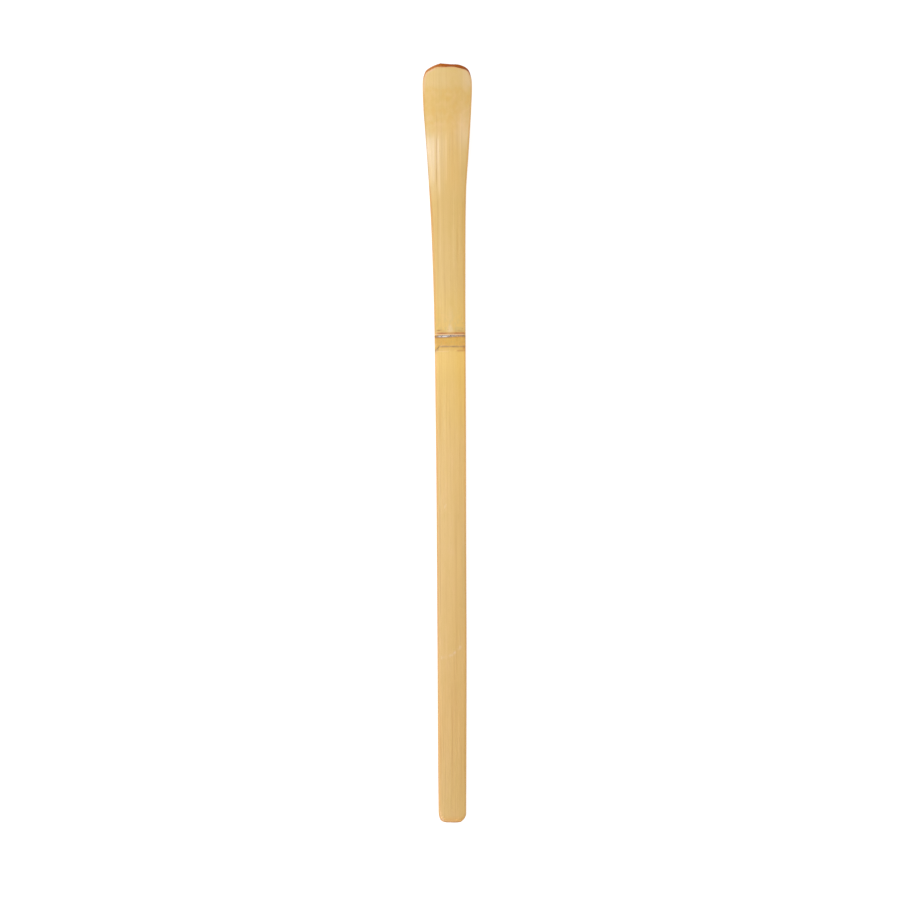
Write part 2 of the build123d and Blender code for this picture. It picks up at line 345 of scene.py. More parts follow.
def front_bevel(x, s, d):
    w, b = S_TIP - s, s - S_BUTT
    at_tip = 1 - smooth(1.2, 5.5, w)
    at_butt = 1 - smooth(1.0, 3.5, b)
    width = 0.42 - 0.30 * at_tip + 0.10 * at_butt
    drop = 0.070 - 0.030 * at_tip + 0.10 * at_butt
    width = width * (1 + 0.10 * noise(s / 5.0, x > 0, 40) * (1 - at_tip))
    # hardly any on the left of the bend
    k = smooth(54, 60, s) * (1 - smooth(78, 84, s)) * (x < 0)
    return bevel(d, width * (1 - 0.45 * k), drop * (1 - 0.6 * k))


def knot_line(x):
    """Where the soft line on the butt side of the node runs."""
    return 23.29 + 0.04 * noise(x / 1.1, 0.0, 21) - 0.95 * np.clip((-2.2 - x) / 0.9, 0, 1) ** 1.1


def node_profile(s):
    return NODE_PROFILE(s)


NODE_PROFILE = pchip([
    (21.2, 0.0), (21.9, 0.02), (22.2, 0.03), (22.6, 0.08), (22.93, 0.11), (23.15, 0.09),
    (23.29, 0.03), (23.43, 0.095), (23.9, 0.15), (24.6, 0.17), (25.2, 0.15), (25.42, 0.11),
    (26.00, 0.11), (26.08, 0.155), (26.19, 0.14), (26.30, 0.07), (26.38, 0.0), (26.50, 0.03),
    (26.85, 0.065), (27.6, 0.05), (29.5, 0.0),
])


# The crack of the scar climbs to the right and narrows there.
CRACK_LOW = pchip([(-3.6, -0.10), (-2.6, -0.06), (-1.2, -0.05), (-0.2, -0.02), (0.5, 0.06), (1.6, 0.10), (3.9, 0.14)])
CRACK_HIGH = pchip([(-3.6, -0.30), (-2.9, -0.16), (-2.3, -0.06), (-0.4, -0.02), (0.8, 0.02), (2.4, -0.01), (3.9, -0.07)])


def scar_wobble(x):
    return 0.03 * noise(x / 1.6, 3.0, 22) + 0.02 * noise(x / 0.5, 5.0, 23)


def crack(x, s):
    """How far the rows near the scar move along the strip."""
    low, high = CRACK_LOW(x) + scar_wobble(x), CRACK_HIGH(x) + scar_wobble(x + 7.0)
    f = np.clip((s - SCAR_LOW) / (SCAR_HIGH - SCAR_LOW), 0, 1)
    return (low * (1 - f) + high * f) * smooth(24.5, 25.35, s) * (1 - smooth(26.08, 26.40, s))


def front(x, s, d):
    """The outer skin's height over the centre line."""
    h = crown(x) + fibres(x, s)
    # the soft line bends towards the butt on the left
    shift = (23.29 - knot_line(x)) * np.exp(-((s - knot_line(x)) / 0.9) ** 2)
    h = h + node_profile(s + shift)
    # a low step on the right where the node's skin ends
    h = h + 0.035 * smooth(1.5, 2.3, x) * smooth(22.1, 22.22, s) * (1 - smooth(22.3, 22.8, s))
    near_node = np.exp(-((s - 25) / 2.2) ** 2)
    h = h + near_node * (0.012 * noise(x / 0.35, s / 0.4, 24) + 0.008 * noise(x / 0.16, s / 0.2, 25))
    return h - front_bevel(x, s, d)


def back(x, s, d):
    """The carved back's height. It only ever lies above the flat back of the CAD."""
    y, z, a = path(s)
    t = thickness(s)
    h = -t
    w, b = S_TIP - s, s - S_BUTT
    blade = smooth(50, 64, s)
    at_tip = 1 - smooth(0.5, 4.0, w)
    width = 0.55 + 0.35 * blade - 0.75 * at_tip * blade
    drop = 0.26 - 0.02 * blade - 0.20 * at_tip * blade
    h = h + bevel(d, width * (1 + 0.15 * noise(s / 7.0, x > 0, 41)), drop, 1.3)
    # the knife's short cuts in the hollow, longer ones on the blade
    hollow = smooth(6, 11, s) * (1 - smooth(38, 44, s))
    cut = (s + 0.5 * noise(x / 3.0, s / 3, 42) + 0.14 * x) / 2.7
    f = cut - np.floor(cut)
    h = h + hollow * 0.055 * (1 - 4 * (f - 0.5) ** 2) * (0.6 + 0.4 * noise(np.floor(cut), 0.0, 43))
    long_cut = s / 17.0 + 0.06 * x
    f = long_cut - np.floor(long_cut)
    h = h + 0.012 * (1 - 4 * (f - 0.5) ** 2)
    # open vessels and fibre bundles that the cut lays bare
    lines = 0.5 + 0.5 * noise(x / 0.17, s / 9, 44)
    h = h + 0.014 * np.clip(lines, 0, 1) ** 2 + 0.004 * (1 + noise(x / 0.09, s / 3, 45))
    # the diaphragm's root stands a little proud of the hollow
    dia = smooth(DIA_LOW - 0.1, DIA_LOW + 0.2, s) * (1 - smooth(DIA_HIGH - 0.2, DIA_HIGH + 0.1, s))
    h = h - 0.05 * dia * (1 + 0.3 * noise(x / 0.5, s / 0.4, 46))
    return h


def side_relief(s, depth, seed):
    """How far the cut side stands out. Lengthwise cut marks follow the fibres."""
    return (0.006 * noise(depth / 0.13, s / 10, seed) + 0.004 * noise(depth / 0.07, s / 4, seed + 1)
            + 0.012 * noise(depth / 1.6, s / 14, seed + 2))


# -------------------------------------------------------------------- the pieces
RIM = np.array([0, 0.03, 0.07, 0.12, 0.18, 0.25, 0.33])


def rows(*spans):
    out = []
    for a, b, step in spans:
        n = max(1, int(round((b - a) / step)))
        out.append(np.linspace(a, b, n + 1)[:-1])
    out.append([spans[-1][1]])
    return np.concatenate(out)


def grid(s, inner):
    """Columns that crowd towards the two sides."""
    lo, hi = outline(s)
    u = np.linspace(0, 1, inner)[None, :]
    mid = (lo + RIM[-1])[:, None] * (1 - u) + (hi - RIM[-1])[:, None] * u
    x = np.concatenate([lo[:, None] + RIM[None, :-1], mid, hi[:, None] - RIM[None, -2::-1]], 1)
    ss = np.repeat(s[:, None], x.shape[1], 1)
    return x, skew(x, ss)


def plate(name, x, s, dense, coarse, levels, coarse_every=8, seed=70, cut=(False, False)):
    """A closed piece between a finely made face and a plain one. x and s are the
    grid, dense and coarse the two heights on it. cut says which of the first and
    last row is an inner joint and stays flat."""
    m, n = x.shape
    up = float(np.mean(dense - coarse)) > 0
    keep = sorted(set(range(0, n - 1, coarse_every)) | {n - 1})
    index = np.arange(m * n).reshape(m, n)
    verts = [place(x, s, dense).reshape(-1, 3)]
    info = [np.stack([x, s, -dense], -1).reshape(-1, 3)]
    d_all = rim_distance(x, s)
    rim = [d_all.reshape(-1)]
    count = m * n
    ring = ([(0, i) for i in range(n)] + [(j, n - 1) for j in range(1, m)]
            + [(m - 1, i) for i in range(n - 2, -1, -1)] + [(j, 0) for j in range(m - 2, 0, -1)])
    rj, ri = np.array([p[0] for p in ring]), np.array([p[1] for p in ring])
    px, ps = x[rj, ri], s[rj, ri]
    hd, hc = dense[rj, ri], coarse[rj, ri]
    # outward direction in the surface
    tx, ts = np.roll(px, -1) - np.roll(px, 1), np.roll(ps, -1) - np.roll(ps, 1)
    ln = np.hypot(tx, ts) + 1e-12
    ox, os_ = ts / ln, -tx / ln
    flat = np.zeros(len(ring), bool)
    if cut[0]:
        flat |= rj == 0
    if cut[1]:
        flat |= rj == m - 1
    loops = [index[rj, ri]]
    for k in range(1, levels):
        f = k / levels
        h = hd * (1 - f) + hc * f
        end = np.abs(os_) > 0.7
        out = np.where(end, 0.006 * noise(px / 0.16, h / 0.16, seed + 5),
                       side_relief(ps, -h + 10 * (px > 0), seed))
        # cut faces meet their neighbours, and the rims stay on the outline
        out = np.where(flat, 0.0, out) * min(1.0, 3 * f, 3 * (1 - f) + 0.3)
        verts.append(place(px + ox * out, ps + os_ * out, h))
        info.append(np.stack([px, ps, -h], -1))
        rim.append(np.zeros(len(ring)))
        loops.append(count + np.arange(len(ring)))
        count += len(ring)
    kx, ks, kc = x[:, keep], s[:, keep], coarse[:, keep]
    verts.append(place(kx, ks, kc).reshape(-1, 3))
    info.append(np.stack([kx, ks, -kc], -1).reshape(-1, 3))
    rim.append(d_all[:, keep].reshape(-1))
    low = count + np.arange(m * len(keep)).reshape(m, len(keep))
    faces = []
    q = np.stack([index[:-1, :-1], index[:-1, 1:], index[1:, 1:], index[1:, :-1]], -1).reshape(-1, 4)
    faces += q.tolist()
    fine = len(faces)
    for a, b in zip(loops[:-1], loops[1:]):
        faces += np.stack([a, b, np.roll(b, -1), np.roll(a, -1)], -1).tolist()
    last = loops[-1]
    at = {p: last[i] for i, p in enumerate(ring)}
    for j in range(m - 1):
        faces.append([at[(j, n - 1)], low[j, -1], low[j + 1, -1], at[(j + 1, n - 1)]])
        faces.append([at[(j + 1, 0)], low[j + 1, 0], low[j, 0], at[(j, 0)]])
    for c in range(len(keep) - 1):
        a, b = keep[c], keep[c + 1]
        faces.append([low[0, c], low[0, c + 1]] + [at[(0, i)] for i in range(b, a - 1, -1)])
        faces.append([low[m - 1, c + 1], low[m - 1, c]] + [at[(m - 1, i)] for i in range(a, b + 1)])
    q = np.stack([low[:-1, :-1], low[1:, :-1], low[1:, 1:], low[:-1, 1:]], -1).reshape(-1, 4)
    faces += q.tolist()
    if not up:
        faces = [f[::-1] for f in faces]
    return np.concatenate(verts), faces, np.concatenate(info), np.concatenate(rim), fine


def make(name, parts, masks=None, sharp=32.0, walls=False):
    """One object from closed shells, with its own coordinates as attributes. With
    walls, its cut sides take the second material."""
    verts, faces, info, rim, kind, base = [], [], [], [], [], 0
    for v, f, i, r, fine in parts:
        verts.append(v)
        faces += [[k + base for k in g] for g in f]
        kind += [0] * fine + [1] * (len(f) - fine)
        info.append(i)
        rim.append(r)
        base += len(v)
    verts, info, rim = np.concatenate(verts), np.concatenate(info), np.concatenate(rim)
    mesh = bpy.data.meshes.new(name)
    mesh.from_pydata(verts.tolist(), [], faces)
    mesh.validate()
    if walls:
        mesh.polygons.foreach_set("material_index", kind)
    a = mesh.attributes.new("fib", "FLOAT_VECTOR", "POINT")
    a.data.foreach_set("vector", info.astype(np.float32).ravel())
    a = mesh.attributes.new("rim", "FLOAT", "POINT")
    a.data.foreach_set("value", rim.astype(np.float32))
    for key, f in (masks or {}).items():
        a = mesh.attributes.new(key, "FLOAT", "POINT")
        a.data.foreach_set("value", f(info[:, 0], info[:, 1], info[:, 2], rim).astype(np.float32))
    mesh.shade_smooth()
    mesh.set_sharp_from_angle(angle=math.radians(sharp))
    ob = bpy.data.objects.new(name, mesh)
    bpy.context.scene.collection.objects.link(ob)
    return ob


# --------------------------------------------------------------------- painting
# Soft masks over (across, along): scorching, the node's lines, specks, and painted highlights and shade.
def spot(x, s, cx, cs, rx, rs):
    return np.exp(-(((x - cx) / rx) ** 2 + ((s - cs) / rs) ** 2))


def burn(x, s, depth, rim):
    """The end face is browned, thinning out round both corners."""
    w = S_TIP - s
    wall = 1 - smooth(0.05, 0.12, rim + 0.02 * noise(x / 0.6, s / 0.6, 51))
    reach = np.where(x < 0, 4.9, 3.9) + 0.5 * noise(x / 1.5, 0.0, 52)
    return wall * (1 - smooth(reach - 1.8, reach + 0.6, w))


def dark_lines_and_crease_shade(x, s, depth, rim):
    """Brown line at the scoop side of the node, partly its colour and partly painted shadow in the dip beside the
    scar's lip; the low step where it ends on the right; and painted shade in the crevice at the scar's foot.
    """
    span = smooth(-3.25, -2.75, x) * (1 - 0.8 * smooth(3.62, 3.85, x))
    # partly brown colour, partly painted shadow in the dip beside the scar's lip
    upper = np.exp(-((s - 26.43 - 0.3 * scar_wobble(x)) / 0.18) ** 2) * (0.86 + 0.25 * noise(x / 0.9, 1.0, 53) + 0.12 * smooth(-1, 2, x)) * span
    step = np.exp(-((s - 22.25) / 0.20) ** 2) * smooth(1.6, 2.2, x) * (1 - 0.4 * smooth(2.6, 3.6, x)) * 0.50
    # a short darker end of the band at the right edge
    end = spot(x, s, 3.55, 22.95, 0.32, 0.55) * 0.45
    # painted shade in the crevice at the scar's foot
    foot = np.exp(-((s - crack(x, s) - 25.30) / 0.13) ** 2) * 0.28 * ((s > 24) & (s < 25.8))
    return np.clip(upper + step + end + foot, 0, 1)


def soft_lines(x, s, depth, rim):
    """The grey-brown line where the node's swelling ends, and painted shade in the crevice at the foot of the scar."""
    k = s - knot_line(x)
    wide = 1 + 0.9 * (1 - smooth(-2.7, -2.3, x))
    line = np.exp(-(k / (np.where(k < 0, 0.23, 0.13) * wide)) ** 2) * (0.80 + 0.2 * noise(x / 0.5, 2.0, 54))
    line = line * (1 + 0.25 * (1 - smooth(-2.5, -2.2, x)) - 0.40 * (1 - smooth(-3.0, -2.75, x)))
    # painted shade in the crevice at the scar's foot
    foot = np.exp(-((s - crack(x, s) - 25.36) / 0.07) ** 2) * 0.4 * (1 - 0.5 * smooth(0, 2, x))
    return np.clip(line + foot * ((s > 24) & (s < 25.8)), 0, 1)


def ochre(x, s, depth, rim):
    """The swollen band of the node."""
    k = knot_line(x)
    band = smooth(-0.06, 0.12, s - k) * (1 - smooth(26.05, 26.2, s))
    # its foot, between that line and the handle, is only a little darker
    band = band + 0.48 * smooth(22.1, 22.5, s + 0.1 * noise(x / 0.8, 0.0, 58)) * (1 - smooth(-0.10, 0.05, s - k))
    mottle = 0.10 * noise(x / 0.7, s / 0.5, 55) + 0.06 * noise(x / 0.25, s / 0.2, 56)
    return np.clip(band * (0.9 + mottle), 0, 1)


def pale_and_highlight(x, s, depth, rim):
    """Light lip beside the sheath scar, a pale spot on the right of the scoop, a light line at the swelling's foot, and
    painted highlights on the node's left edge and along the rim of the scoop's left corner.
    """
    lip = np.exp(-((s - 26.14) / 0.070) ** 2) * (0.90 - 0.22 * (1 - smooth(-2.9, -1.8, x)) - 0.5 * smooth(3.2, 3.6, x))
    # the second spot is a painted highlight on the node's left edge
    spots = 0.20 * spot(x, s, 3.7, 76.5, 1.3, 5.0) + 0.5 * spot(x, s, -3.35, 23.5, 0.22, 0.4)
    # a second light line, where the swelling's foot ends on the left
    foot = np.exp(-((s - 22.10) / 0.13) ** 2) * smooth(-3.3, -2.9, x) * (1 - smooth(-0.4, 0.3, x)) * 0.28
    # a painted highlight along the lit rim of the scoop's left corner
    corner = 0.40 * np.exp(-((rim - 0.36) / 0.20) ** 2) * smooth(-2.4, -3.2, x) * (x < -2.4) * smooth(85.0, 86.5, s)
    return np.clip(lip + spots + foot + corner, 0, 1)


def specks(x, s, depth, rim):
    v = 0.0
    for cx, cs, rx, rs, k in ((-2.45, 27.12, 0.42, 0.11, 1.35), (-0.2, 27.3, 0.10, 0.10, 0.7),
                              (3.2, 27.5, 0.11, 0.12, 0.7), (2.4, 27.15, 0.22, 0.07, 0.5),
                              (-1.2, 26.95, 0.13, 0.06, 0.4), (3.35, 28.9, 0.10, 0.16, 0.4),
                              (2.7, 26.90, 1.1, 0.22, 0.30), (-1.75, 27.15, 0.6, 0.16, 0.30),
                              (-2.1, 26.86, 1.3, 0.15, 0.27), (3.7, 26.3, 0.25, 0.35, 0.25)):
        v = v + k * spot(x, s, cx, cs, rx, rs)
    return np.clip(v, 0, 1)


def butt_grain_and_shade(x, s, depth, rim):
    """The butt's rounded edge: darker end grain, deepened by painted shade where the edge faces away from the light."""
    b = s - S_BUTT
    end = 0.25 + 0.75 * smooth(-2.1, -1.3, x) * (1 - smooth(1.7, 2.5, x))
    return end * (1 - smooth(0.10, 0.34, rim + 0.03 * noise(x / 0.5, s / 0.5, 59))) * (1 - smooth(1.2, 3.2, b))


def painted_rim_highlights(x, s, depth, rim):
    """Small painted highlights on the butt's rounded lower rim."""
    v = 0.0
    for cx, cs, rx, rs, k in ((-2.27, -88.66, 0.22, 0.14, 0.60), (-1.79, -89.16, 0.22, 0.12, 0.50),
                              (1.10, -89.40, 0.22, 0.11, 0.55), (1.62, -89.00, 0.16, 0.12, 0.25),
                              (-2.42, -87.95, 0.14, 0.20, 0.25)):
        v = v + k * spot(x, s, cx, cs, rx, rs)
    return np.clip(v, 0, 1)


def scuffs(x, s, depth, rim):
    """Faint pale rubs across the handle, and the bloom above the node."""
    def rub(x0, s0, x1, s1, w, k):
        dx, ds = x1 - x0, s1 - s0
        u = ((x - x0) * dx + (s - s0) * ds) / (dx * dx + ds * ds)
        d = np.abs((x - x0) * ds - (s - s0) * dx) / math.hypot(dx, ds)
        return k * np.exp(-(d / w) ** 2) * smooth(-0.1, 0.25, u) * (1 - smooth(0.75, 1.1, u))
    v = (rub(-0.50, -50.40, 0.55, -50.10, 0.24, 0.60) + rub(0.45, -50.05, 1.15, -49.35, 0.24, 0.95)
         + rub(1.45, -49.05, 2.55, -48.05, 0.26, 0.60) + rub(-2.40, -50.80, -0.75, -50.60, 0.32, 0.42)
         + rub(-1.4, -15.2, -0.8, -14.2, 0.16, 0.4))
    broken = smooth(-0.45, 0.35, noise(x / 0.60, s / 0.45, 57)) * (0.8 + 0.4 * noise(x / 0.2, s / 0.2, 60))
    v = v * (0.35 + 0.75 * broken)
    # the wax bloom above the scar, a narrow triangle
    u = (s - 26.75) / 2.1
    bloom = np.exp(-((x - 0.30) / (0.62 - 0.34 * np.clip(u, 0, 1))) ** 2) * smooth(-0.1, 0.1, u) * (1 - smooth(0.5, 1.1, u))
    bloom = bloom * (0.75 + 0.35 * noise(x / 0.25, s / 0.7, 62)) + 0.22 * spot(x, s, 0.5, 30.6, 0.55, 1.8)
    return np.clip(v + 0.85 * bloom, 0, 1)


def vein(x, s, depth, rim):
    """Fibre lines, 0.5 where there is none, more in a groove."""
    return 0.5 + 0.5 * np.clip(lines(x, s), -1, 1) - 0.14 * ridges(x, s)


MASKS = {"burn": burn, "dark": dark_lines_and_crease_shade, "soft": soft_lines, "ochre": ochre, "pale_and_highlight": pale_and_highlight,
         "speck": specks, "painted_rim_highlights": painted_rim_highlights, "scuff": scuffs, "vein": vein, "end_grain_and_shade": butt_grain_and_shade}


# ------------------------------------------------------------------- build them
def skin_and_flesh(zone, s, inner, levels):
    cut = (zone != "handle", zone != "blade")
    x, ss = grid(s, inner)
    d = rim_distance(x, ss)
    f, u, b = front(x, ss, d), under_skin(x), back(x, ss, d)
    f = np.maximum(f, u + 0.05)
    skin = plate(zone + "_skin", x, ss, f, u, 2, cut=cut)
    flesh = plate(zone + "_flesh", x, ss, b, u, levels, cut=cut)
    return skin, flesh


s_handle = rows((S_BUTT, S_BUTT + 0.35, 0.05), (S_BUTT + 0.35, S_BUTT + 3.2, 0.10),
                (S_BUTT + 3.2, 20.2, 0.27), (20.2, NODE_LOW, 0.10))
s_blade = rows((NODE_HIGH, 28.5, 0.08), (28.5, 33.0, 0.18), (33.0, S_TIP - 7.0, 0.25),
               (S_TIP - 7.0, S_TIP - 3.0, 0.14), (S_TIP - 3.0, S_TIP - 0.6, 0.08),
               (S_TIP - 0.6, S_TIP - 0.1, 0.05), (S_TIP - 0.1, S_TIP, 0.025))

handle_skin_parts, handle_flesh_parts = skin_and_flesh("handle", s_handle, 76, 12)
blade_skin_parts, blade_flesh_parts = skin_and_flesh("blade", s_blade, 116, 6)

# the node's skin with its groove, and the scar that fills it
s_node = rows((NODE_LOW, SCAR_LOW - 0.2, 0.07), (SCAR_LOW - 0.2, SCAR_LOW, 0.05))
s_node = np.concatenate([s_node, [SCAR_LOW + 0.012], rows((SCAR_LOW + 0.1, SCAR_HIGH - 0.1, 0.07)),
                         [SCAR_HIGH - 0.012], rows((SCAR_HIGH, NODE_HIGH, 0.05))])
x_node, g_node = grid(s_node, 110)
g_node = g_node + crack(x_node, g_node)
d_node = rim_distance(x_node, g_node)
top_node = front(x_node, g_node, d_node)
floor_node = crown(x_node) - 0.02 + 0.01 * noise(x_node / 0.2, g_node / 0.2, 61)
floor_node = np.minimum(floor_node, top_node - 0.02)
in_groove = (s_node > SCAR_LOW + 0.001) & (s_node < SCAR_HIGH - 0.001)
top_node = np.where(in_groove[:, None], floor_node, top_node)
u_node = under_skin(x_node)
top_node = np.maximum(top_node, u_node + 0.04)
node_skin_parts = plate("node_skin", x_node, g_node, top_node, u_node, 2, cut=(True, True))

s_scar = np.linspace(SCAR_LOW + 0.012, SCAR_HIGH - 0.012, 15)
x_scar, g_scar = grid(s_scar, 150)
across = (g_scar - SCAR_LOW) / (SCAR_HIGH - SCAR_LOW)
g_scar = g_scar + crack(x_scar, g_scar)
d_scar = rim_distance(x_scar, g_scar)
bed = crown(x_scar) - 0.012
swell = np.sin(np.pi * np.clip(across, 0, 1)) ** 0.6
lens = smooth(-3.0, -1.9, x_scar) * (1 - smooth(-0.9, -0.2, x_scar))
scar_top = (crown(x_scar) + 0.055 + 0.035 * swell + 0.035 * noise(x_scar / 0.45, across * 2.2, 62)
            + 0.03 * noise(x_scar / 0.16, across * 4, 63) + 0.03 * lens * swell)
scar_top = scar_top - front_bevel(x_scar, g_scar, d_scar) * 0.9
scar_top = np.maximum(scar_top, bed + 0.02)
bed = np.minimum(bed, crown(x_scar) - front_bevel(x_scar, g_scar, d_scar) - 0.02)
scar_parts = plate("sheath_scar", x_scar, g_scar, scar_top, bed, 2, coarse_every=10)


# node flesh with the notch for the diaphragm, both seen on the carved back
def notch_top(s):
    r = 0.6
    y = path(s)[0]
    z = np.where(y < DIA_LOW + r, DIA_TOP - r + np.sqrt(np.maximum(r * r - (DIA_LOW + r - y) ** 2, 0)), DIA_TOP)
    z = np.where(y > DIA_HIGH - r, DIA_TOP - r + np.sqrt(np.maximum(r * r - (y - DIA_HIGH + r) ** 2, 0)), z)
    yy, zz, a = path(s)
    return (z - zz) / np.cos(a)


s_flesh = np.concatenate([rows((NODE_LOW, DIA_LOW - 0.01, 0.12)), rows((DIA_LOW, DIA_HIGH, 0.10)),
                          rows((DIA_HIGH + 0.01, NODE_HIGH, 0.12))])
x_f, g_f = grid(s_flesh, 66)
d_f = rim_distance(x_f, g_f)
b_f = back(x_f, g_f, d_f)
inside = (s_flesh >= DIA_LOW - 0.001) & (s_flesh <= DIA_HIGH + 0.001)
b_notched = np.where(inside[:, None], np.maximum(notch_top(g_f), b_f + 0.05), b_f)
node_flesh_parts = plate("node_flesh", x_f, g_f, b_notched, under_skin(x_f), 8, cut=(True, True))
s_dia = rows((DIA_LOW, DIA_HIGH, 0.08))
x_d, g_d = grid(s_dia, 66)
d_d = rim_distance(x_d, g_d)
b_d = back(x_d, g_d, d_d)
t_d = np.maximum(notch_top(g_d), b_d + 0.05)
diaphragm_parts = plate("node_diaphragm", x_d, g_d, b_d, t_d, 5, cut=(True, True))


def flake(cx, cs, length, width, lift, curl, turn, seed, thick=0.022):
    """A dry papery sliver of the sheath that still clings to the scar."""
    m, n = 26, 9
    u = np.linspace(-1, 1, m)[:, None]
    v = np.linspace(-1, 1, n)[None, :]
    half = 0.5 * width * (np.clip(1 - u * u, 0, 1) ** 0.55 + 0.04) * (1 + 0.18 * noise(u * 3, 0.0, seed))
    along = 0.5 * length * u + 0.02 * noise(u * 4, v * 2, seed + 1)
    cross = half * v
    h = lift + curl * (v * 0.5 + 0.5) ** 2 * (1 - 0.5 * u * u) + 0.015 * noise(u * 5, v * 2, seed + 2)
    x = cx + along * math.cos(turn) - cross * math.sin(turn)
    s = cs + along * math.sin(turn) + cross * math.cos(turn)
    base = crown(x) + h + 0 * x
    verts = np.concatenate([place(x, s, base).reshape(-1, 3), place(x, s, base - thick).reshape(-1, 3)])
    info = np.concatenate([np.stack([x, s, -base], -1).reshape(-1, 3)] * 2)
    top = np.arange(m * n).reshape(m, n)
    low = top + m * n
    faces = np.stack([top[:-1, :-1], top[1:, :-1], top[1:, 1:], top[:-1, 1:]], -1).reshape(-1, 4).tolist()
    faces += np.stack([low[:-1, :-1], low[:-1, 1:], low[1:, 1:], low[1:, :-1]], -1).reshape(-1, 4).tolist()
    ring = np.concatenate([top[0, :], top[1:, -1], top[-1, -2::-1], top[-2:0:-1, 0]])
    ring_low = ring + m * n
    faces += np.stack([ring, np.roll(ring, -1), np.roll(ring_low, -1), ring_low], -1).tolist()
    # the rows run along x, so the top's winding is checked and turned if needed
    p = verts[top[m // 2, n // 2]], verts[top[m // 2 + 1, n // 2]], verts[top[m // 2 + 1, n // 2 + 1]]
    if np.cross(p[1] - p[0], p[2] - p[0])[2] < 0:
        faces = [f[::-1] for f in faces]
    return verts, faces, info, np.full(len(verts), 9.0), len(faces)


flakes = [
    # one long lens of dry sheath, with a few grey shreds beside it
    flake(-1.30, 25.66, 2.3, 0.31, 0.115, 0.05, 0.01, 81),
    flake(-0.98, 25.62, 1.25, 0.22, 0.15, 0.04, 0.04, 82),
    flake(-2.55, 25.66, 0.8, 0.12, 0.08, 0.03, 0.14, 84),
    flake(-0.28, 25.84, 0.46, 0.14, 0.10, 0.03, 0.16, 85),
    flake(0.22, 25.83, 0.36, 0.11, 0.09, 0.03, -0.05, 91),
    flake(0.72, 25.82, 0.34, 0.12, 0.09, 0.03, -0.10, 86),
    flake(1.35, 25.88, 0.46, 0.10, 0.08, 0.03, 0.05, 87),
    flake(2.5, 25.84, 0.9, 0.07, 0.075, 0.02, -0.03, 90),
]

pieces = {
    "handle_skin": make("handle_skin_mesh", [handle_skin_parts], MASKS, walls=True),
    "handle_flesh": make("handle_flesh_mesh", [handle_flesh_parts], MASKS),
    "blade_skin": make("blade_skin_mesh", [blade_skin_parts], MASKS, walls=True),
    "blade_flesh": make("blade_flesh_mesh", [blade_flesh_parts], MASKS),
    "node_skin": make("node_skin_mesh", [node_skin_parts], MASKS, walls=True),
    "node_flesh": make("node_flesh_mesh", [node_flesh_parts], MASKS),
    "node_diaphragm": make("node_diaphragm_mesh", [diaphragm_parts], MASKS),
    "sheath_scar": make("sheath_scar_mesh", [scar_parts], MASKS),
}
flake_piece = make("sheath_flakes", flakes, MASKS, sharp=60)


# -------------------------------------------------------------------- materials
def lin(r, g, b):
    f = lambda c: c / 12.92 if c <= 0.04045 else ((c + 0.055) / 1.055) ** 2.4
    return (f(r / 255), f(g / 255), f(b / 255), 1.0)


